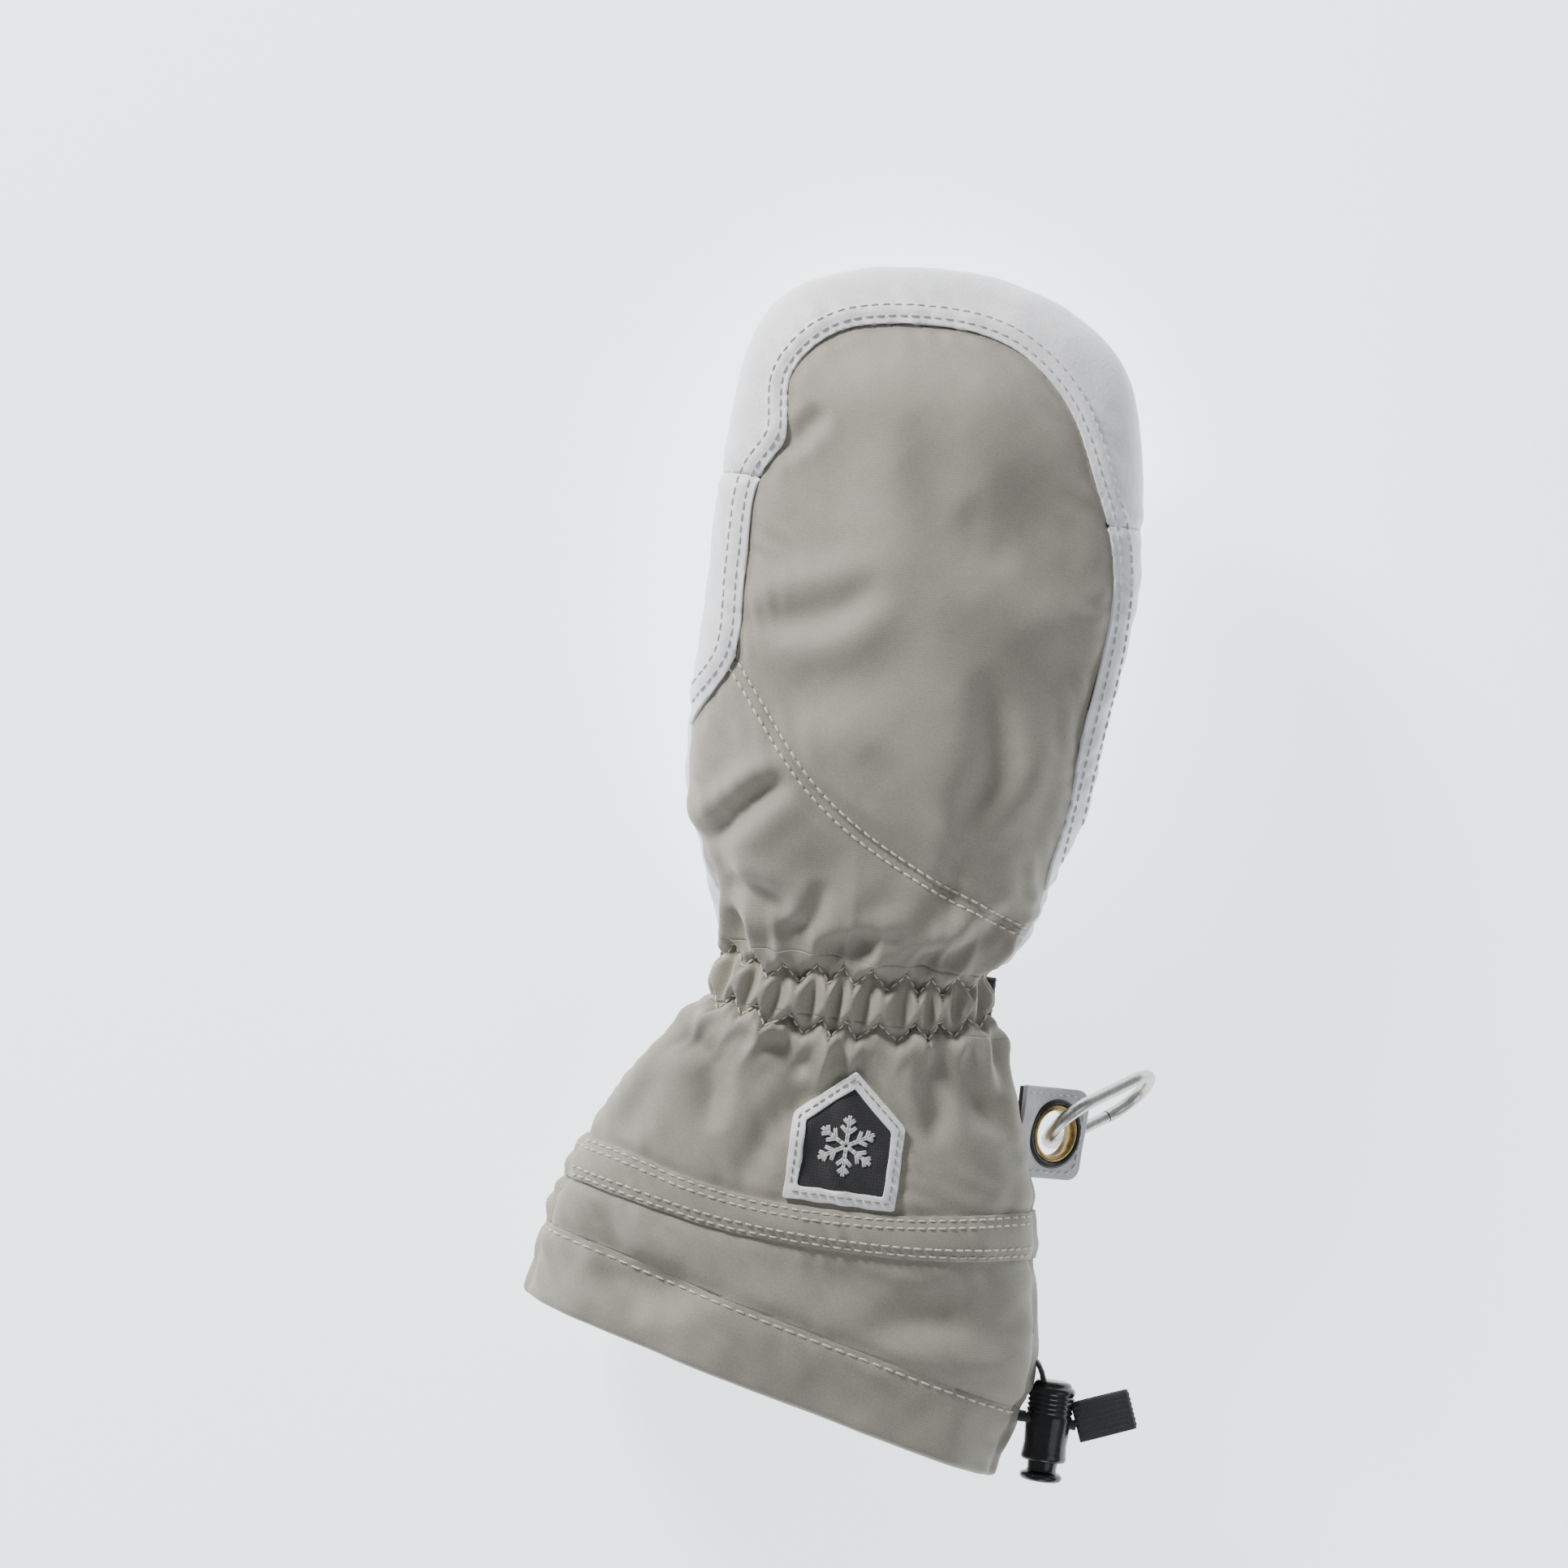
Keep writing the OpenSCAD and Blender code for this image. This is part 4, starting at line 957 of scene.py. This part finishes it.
def seam(name, runs, radius, slot, thread, body="shell", **how):
    """A seam's stitches. runs holds (mesh, line in plan, whether it is seen from above)."""
    places = [p for tree, line, up in runs for p in seam_places(tree, line, up, **how)]
    finish_piece(stitch_mesh(name, places, radius), slot, body, mat=thread)


seam("stitches_back_edge", [(top, shifted(BACK_EDGE, d), True) for d in (1.8, 4.8)], 0.27,
     "white_leather", THREAD_WHITE, keep=on_back)
seam("stitches_cross_seam", [(top, shifted(CROSS, d), True) for d in (0.9, -1.9)], 0.32,
     "shell_fabric", THREAD, keep=on_fabric, pitch=2.9)
seam("stitches_band", [(tree, line + np.array([0, d * way]), up)
                       for tree, up in ((top, True), (bottom, False))
                       for line, way in ((BAND_TOP, -1), (BAND_LOW, 1)) for d in (1.2, 3.2)], 0.27,
     "shell_fabric", THREAD, keep=off_label, pitch=2.9, length=2.1)
hem_line = np.linspace(HEM_L - HEM_ALONG * 12, HEM_R + HEM_ALONG * 12, 61) + HEM_UP * (HEM_H - 1.6)
seam("stitches_hem", [(top, hem_line, True), (bottom, hem_line, False)], 0.3,
     "shell_fabric", THREAD, pitch=3.6, length=2.7)
seam("stitches_palm_arch", [(bottom, shifted(PALM_ARCH, d), False) for d in (1.6, 4.2)], 0.26,
     "white_leather", THREAD_GREY)
label_line = np.vstack([LABEL, LABEL[:1]]) * 0.89 + LABEL_AT
seam("stitches_label", [(label_tree, label_line, True)], 0.24, "white_leather", THREAD_GREY,
     pitch=2.5, length=1.8)
t_tree = tree_of(made["thumb_leather"], made["thumb_fabric"])
seam("stitches_thumb", [(t_tree, THUMB_SEAM, False)], 0.28, "shell_fabric", THREAD, "thumb",
     keep=thumb_front, pitch=2.9)

# zigzag elastic thread round the wrist
zig_places = []
for sign, base in ((1, GATHER_1), (-1, GATHER_2)):
    pts, nrm = [], []
    for u in np.arange(0, 1, 1 / (TEETH * 12)):
        i, f = int(u * COLS), u * COLS - int(u * COLS)
        col, skin, normals = (g[:, i] * (1 - f) + g[:, i + 1] * f for g in (P0, P1, N1))
        e = line_gap(col[:, 0], col[:, 1], base) - sign * zigzag(*col.T, u)[1]
        near = np.where((e[:-1] <= 0) & (e[1:] > 0))[0]
        if len(near):
            k = near[0]
            g = -e[k] / (e[k + 1] - e[k])
            pts.append(skin[k] * (1 - g) + skin[k + 1] * g)
            nrm.append(normals[k] * (1 - g) + normals[k + 1] * g)
    pts, nrm = np.array(pts), np.array(nrm)
    s = lengths(pts)
    for at in np.arange(1, s[-1] - 1, 2.5):
        c, a, b = along_path(np.array([at, at - 0.95, at + 0.95]), s, pts)
        m = unit(along_path(at, s, nrm))
        zig_places.append((c + m * 0.2, b - a, m, 1.9))
finish_piece(stitch_mesh("stitches_wrist", zig_places, 0.27), "shell_fabric", "shell", mat=THREAD)

# ---- Wrist strap, ring and keeper -----------------------------------------------------------
WEB, PAD, GAP, WIRE, CLEAR = 1.4, 1.7, 0.3, 2.0, 0.7
STRAP_W, PAD_W = 25, 22
mid_y = 4 - STRAP_W / 2


def strap_z(x, d):
    """How low the strap's layer at depth d runs, x from the middle of the wrist."""
    return 46 - (19.7 + d) * np.maximum(1 - (np.abs(x) / (44 + d)) ** ROUNDNESS, 0) ** (1 / ROUNDNESS)


bar_depth = WEB + CLEAR + WIRE / 2
bar_b, bar_a = (-13.5, strap_z(-13.5, bar_depth)), (-26.3, strap_z(-26.3, bar_depth))


def run(x0, x1, depth, n=24):
    return [(x, strap_z(x, depth)) for x in np.linspace(x0, x1, n)]


def around(at, side, n=14):
    r = WIRE / 2 + CLEAR + WEB / 2
    return [(at[0] - side * r * math.sin(a), at[1] + r * math.cos(a)) for a in np.linspace(0, math.pi, n)]


def web(node, path, width, thickness, slot, body, ribs=1.7):
    p = np.array([[x, mid_y, z] for x, z in path])
    return finish_piece(strip("web_" + node, p, (0, width, 0), thickness, ribs), slot, body, node)


web("wrist_strap", run(38, -13.4, WEB / 2) + around(bar_b, 1)[1:], STRAP_W, WEB, "webbing", "shell")
web("strap_flap", run(-12.3, 28, 5.1 + WEB / 2), STRAP_W, WEB, "webbing", "flap")
web("loop_pad", run(-6, 27, WEB + PAD / 2), PAD_W, PAD - 0.1, "loop_tape", "shell", 0.7)
web("hook_pad", run(2, 24, WEB + PAD * 1.5 + GAP - 0.06), PAD_W, PAD - 0.2, "hook_tape", "flap", 0.9)
keeper = run(-37, -26.4, WEB / 2, 10) + around(bar_a, -1)[1:]
keeper += run(-26.8, -35, WEB * 1.5 + 2 * CLEAR + WIRE, 8)
web("ring_keeper", keeper, STRAP_W, WEB, "webbing", "shell")

# ---- Tab with its eyelet ---------------------------------------------------------------------
EYE = np.array([59, -36, 31.0])
TILT = math.radians(40)
to_tab = np.array([[math.cos(TILT), 0, math.sin(TILT)], [0, 1, 0], [-math.sin(TILT), 0, math.cos(TILT)]])


def in_tab(p):
    return EYE + np.asarray(p, float) @ to_tab.T


def tab_outline(grow, n=9):
    w, e, corner = 12.5 + grow, 11 + grow, 4
    pts = [(-13.5, -w)]
    for cy, turn in ((corner - w, -90), (w - corner, 0)):
        for k in range(n + 1):
            a = math.radians(turn + 90 * k / n)
            pts.append((e - corner + corner * math.cos(a), cy + corner * math.sin(a)))
    return np.array(pts + [(-13.5, w)])


def tab_plate(name, low, high, grow, slot, node):
    seg = tab_outline(grow)
    seg = np.vstack([seg, seg[:1]])
    along = lengths(seg)
    out = along_path(np.linspace(0, along[-1], 121)[:-1], along, seg)
    hole = unit(out) * 7.3
    rows = []
    for f, z in ((1.0, low), (1.0, low + 0.3), (1.0, high - 0.3), (0.985, high - 0.05),
                 (0.96, high), (0.9, high), (0.7, high), (0.45, high)):
        p = hole + (out - hole) * f
        rows.append(np.column_stack([p, z + 0.25 * np.sin(p[:, 1] / 4) + 0.0045 * (p[:, 0] - 2) ** 2]))
    rows += [np.column_stack([hole, np.full(120, z)]) for z in (high, low)]
    g = in_tab(np.array(rows + rows[:1]))
    obj = make_object(name, g.reshape(-1, 3), grid_faces(numbered(g)), weld=0.01)
    return finish_piece(obj, slot, "shell", node)


tab_plate("skin_tab_leather", 0.02, 1.5, 0, "tab_leather", "tab_leather")
tab_plate("skin_tab_backing", -1.5, -0.02, -0.4, "webbing", "tab_backing")
places = []
o = tab_outline(-1.9)
along = lengths(o)
up_n = in_tab([0, 0, 1]) - EYE
for at in np.arange(1.2, along[-1] - 1, 2.7):
    c, a, b = along_path(np.array([at, at - 0.9, at + 0.9]), along, o)
    h = 1.62 + 0.25 * math.sin(c[1] / 4) + 0.0045 * (c[0] - 2) ** 2
    places.append((in_tab([*c, h]), in_tab([*b, 0]) - in_tab([*a, 0]), up_n, 1.9))
finish_piece(stitch_mesh("stitches_tab", places, 0.25), "tab_leather", "shell", mat=THREAD_WHITE)


def grommet(node, profile, slot):
    g = in_tab(turned(profile, 64))
    obj = make_object("trim_" + node, g.reshape(-1, 3), grid_faces(numbered(g), True, True))
    return finish_piece(obj, slot, "shell", node)


grommet("eyelet_barrel", [(6.35, -1.7), (6.3, 0.8), (6.4, 1.6), (6.8, 2.1), (7.4, 2.15), (7.9, 1.8),
                          (7.9, 1.5), (7.2, 1.4), (7.1, -1.7)], "brass")
grommet("eyelet_rim", [(8.0, 1.5), (8.05, 1.9), (8.5, 2.15), (9.1, 2.1), (9.5, 1.8), (9.6, 1.5)],
        "black_metal")
grommet("eyelet_washer", [(7.2, -1.5), (9.5, -1.5), (9.6, -1.8), (9.2, -2.05), (7.6, -2.05),
                          (7.2, -1.8)], "brass")

# ---- Cord, lock and pull tab ----------------------------------------------------------------
LOCK_X, EXIT = 69.3, np.array([59.5, -114.5, 29.0])


def tube(name, path, r, n=12, ridges=0.0):
    path = np.asarray(path, float)
    t = unit(np.gradient(path, axis=0))
    s = unit(np.cross(t, np.array([0.3, 1, 0.1])))
    a = np.linspace(0, 2 * math.pi, n, endpoint=False)
    k = np.arange(len(path))[:, None]
    rr = r * (1 + ridges * np.sin(3 * a + k * 0.9) * np.sin(3 * a - k * 0.9))
    round_it = np.cos(a)[:, None] * s[:, None] + np.sin(a)[:, None] * np.cross(t, s)[:, None]
    i = numbered(rr)
    faces = list(grid_faces(i)) + [i[0][::-1], i[-1]]
    return make_object(name, (path[:, None] + rr[..., None] * round_it).reshape(-1, 3), faces)


def tail(start, rise):
    """One end of the cord, from the hem out through the lock."""
    end = np.array([76.8, EXIT[1], EXIT[2] + rise])
    return [start + (end - start) * k / 30 for k in range(31)]


r_cord = int(np.argmin(np.abs(P0[:, 0, 1] - EXIT[1])))
loop = P1[r_cord] - flat_n[r_cord] * 3.0
loop = loop[int(COLS * 0.012):int(COLS * 0.988)]
path = tail(loop[0], 1.5)[::-1] + list(loop[1:-1]) + tail(loop[-1], -1.5)
finish_piece(tube("cord_drawcord", path, 1.25, 12, 0.07), "cord_elastic", "shell", "drawcord")

body_profile = [(0.1, -103.2), (3.4, -103.1), (4.6, -103.4), (5.1, -104.0), (5.3, -104.6),
                (6.0, -104.9), (6.35, -105.5)]
for k in range(5):
    y = -106.5 - k * 1.3
    body_profile += [(6.35, y), (6.0, y - 0.3), (6.0, y - 0.6), (6.35, y - 0.9)]
body_profile += [(6.4, -113.2), (6.1, -117.5), (5.9, -120.5), (6.1, -123.0), (6.3, -124.0),
                 (6.2, -124.8), (5.7, -125.2), (4.6, -125.2), (4.45, -124.6), (4.45, -112)]
button_profile = [(4.2, -113), (4.25, -125), (4.0, -127.4), (4.3, -128.2), (5.2, -128.5), (5.75, -129.0),
                  (5.85, -129.7), (5.5, -130.4), (4.4, -130.8), (2.5, -130.7), (1.6, -130.4), (0.1, -130.4)]
lock_at = [LOCK_X, 0, EXIT[2]]
finish_piece(lathe("lock_shell", body_profile, lock_at), "black_plastic", "shell", "lock_body")
finish_piece(lathe("lock_plunger", button_profile, lock_at), "black_plastic", "button", "lock_button")
low, high = (np.array(corner) * 1000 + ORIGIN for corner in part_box("lock_tether"))
mid = (low + high) / 2
tether = [[low[0] - 1.0, high[1] - 0.5, mid[2]], [mid[0] + 0.6, mid[1], mid[2]],
          [high[0] - 0.4, low[1] + 0.4, mid[2]]]
finish_piece(strip("web_lock_tether", spline(tether, 6), (0, 0, 9), 1.2, 1.5),
             "webbing", "shell", "lock_tether")
a = math.radians(22)
d2 = np.array([math.cos(a), math.sin(a), 0])
side = np.array([-math.sin(a), math.cos(a), 0])
root = np.array([76.4, -114.5, 29.0]) + side * 0.6
half = [(0.6, 1.3), (5, 1.5), (12, 1.1), (15.4, 0.9)]
folded = half + [(16.4, 0)] + [(reach, -rise) for reach, rise in half[::-1]]
fold_path = [root + d2 * reach + [0, 0, rise] for reach, rise in folded]
finish_piece(strip("web_pull_tab", spline(fold_path, 5), -side * 11, 1.1, 1.4),
             "webbing", "shell", "pull_tab")

# ---- CAD nodes that are shown as they are ---------------------------------------------------
slots = {s["node"]: s.get("material_slot", s["node"]) for s in frame["record"]["subparts"]}
for node in ("carabiner_body", "carabiner_gate", "gate_pin", "strap_ring"):
    o = frame["nodes"][node]
    o.data.materials.clear()
    o.data.materials.append(MATS[slots[node]])
    o.data.polygons.foreach_set("use_smooth", [True] * len(o.data.polygons))

# ---- Stage, light and camera ----------------------------------------------------------------
bpy.ops.mesh.primitive_plane_add(size=6, location=(0, 0, -0.0002))
floor = bpy.context.object
floor.name = "floor"
fm = material("floor", (0.86, 0.89, 0.92), 0.9)
glow = fm.node_tree.nodes["Principled BSDF"].inputs
glow["Emission Color"].default_value = (0.83, 0.87, 0.92, 1)
glow["Emission Strength"].default_value = 2.3
floor.data.materials.append(fm)


def area(name, place, target, size, power, colour=(1, 1, 1)):
    light = bpy.data.lights.new(name, "AREA")
    light.shape, light.size, light.energy, light.color = "DISK", size, power, colour
    o = bpy.data.objects.new(name, light)
    collection.objects.link(o)
    o.location = place
    o.rotation_euler = (Vector(target) - Vector(place)).to_track_quat("-Z", "Y").to_euler()


area("key", (-0.95, 0.95, 0.62), (0, 0, 0.03), 0.4, 34, (1, 0.99, 0.97))
area("fill", (0.9, -0.3, 1.1), (0, 0, 0.03), 1.0, 2.5, (0.96, 0.98, 1))
area("rim", (0.2, -1.1, 0.5), (0, 0, 0.03), 0.6, 3)
world = bpy.data.worlds.new("world")
bpy.context.scene.world = world
world.use_nodes = True
sky = world.node_tree.nodes["Background"].inputs
sky["Color"].default_value, sky["Strength"].default_value = (0.90, 0.94, 1.0, 1), 0.30

cam = bpy.data.cameras.new("camera")
cam.lens, cam.sensor_width = 135, 36
eye = bpy.data.objects.new("camera", cam)
collection.objects.link(eye)
centre = (np.array([-26.6, 48.3, 45]) - ORIGIN) * 0.001
eye.location = (centre[0], centre[1], centre[2] + 0.425 * 135 / 36)
eye.rotation_euler = (0, 0, math.radians(8))
bpy.context.scene.camera = eye
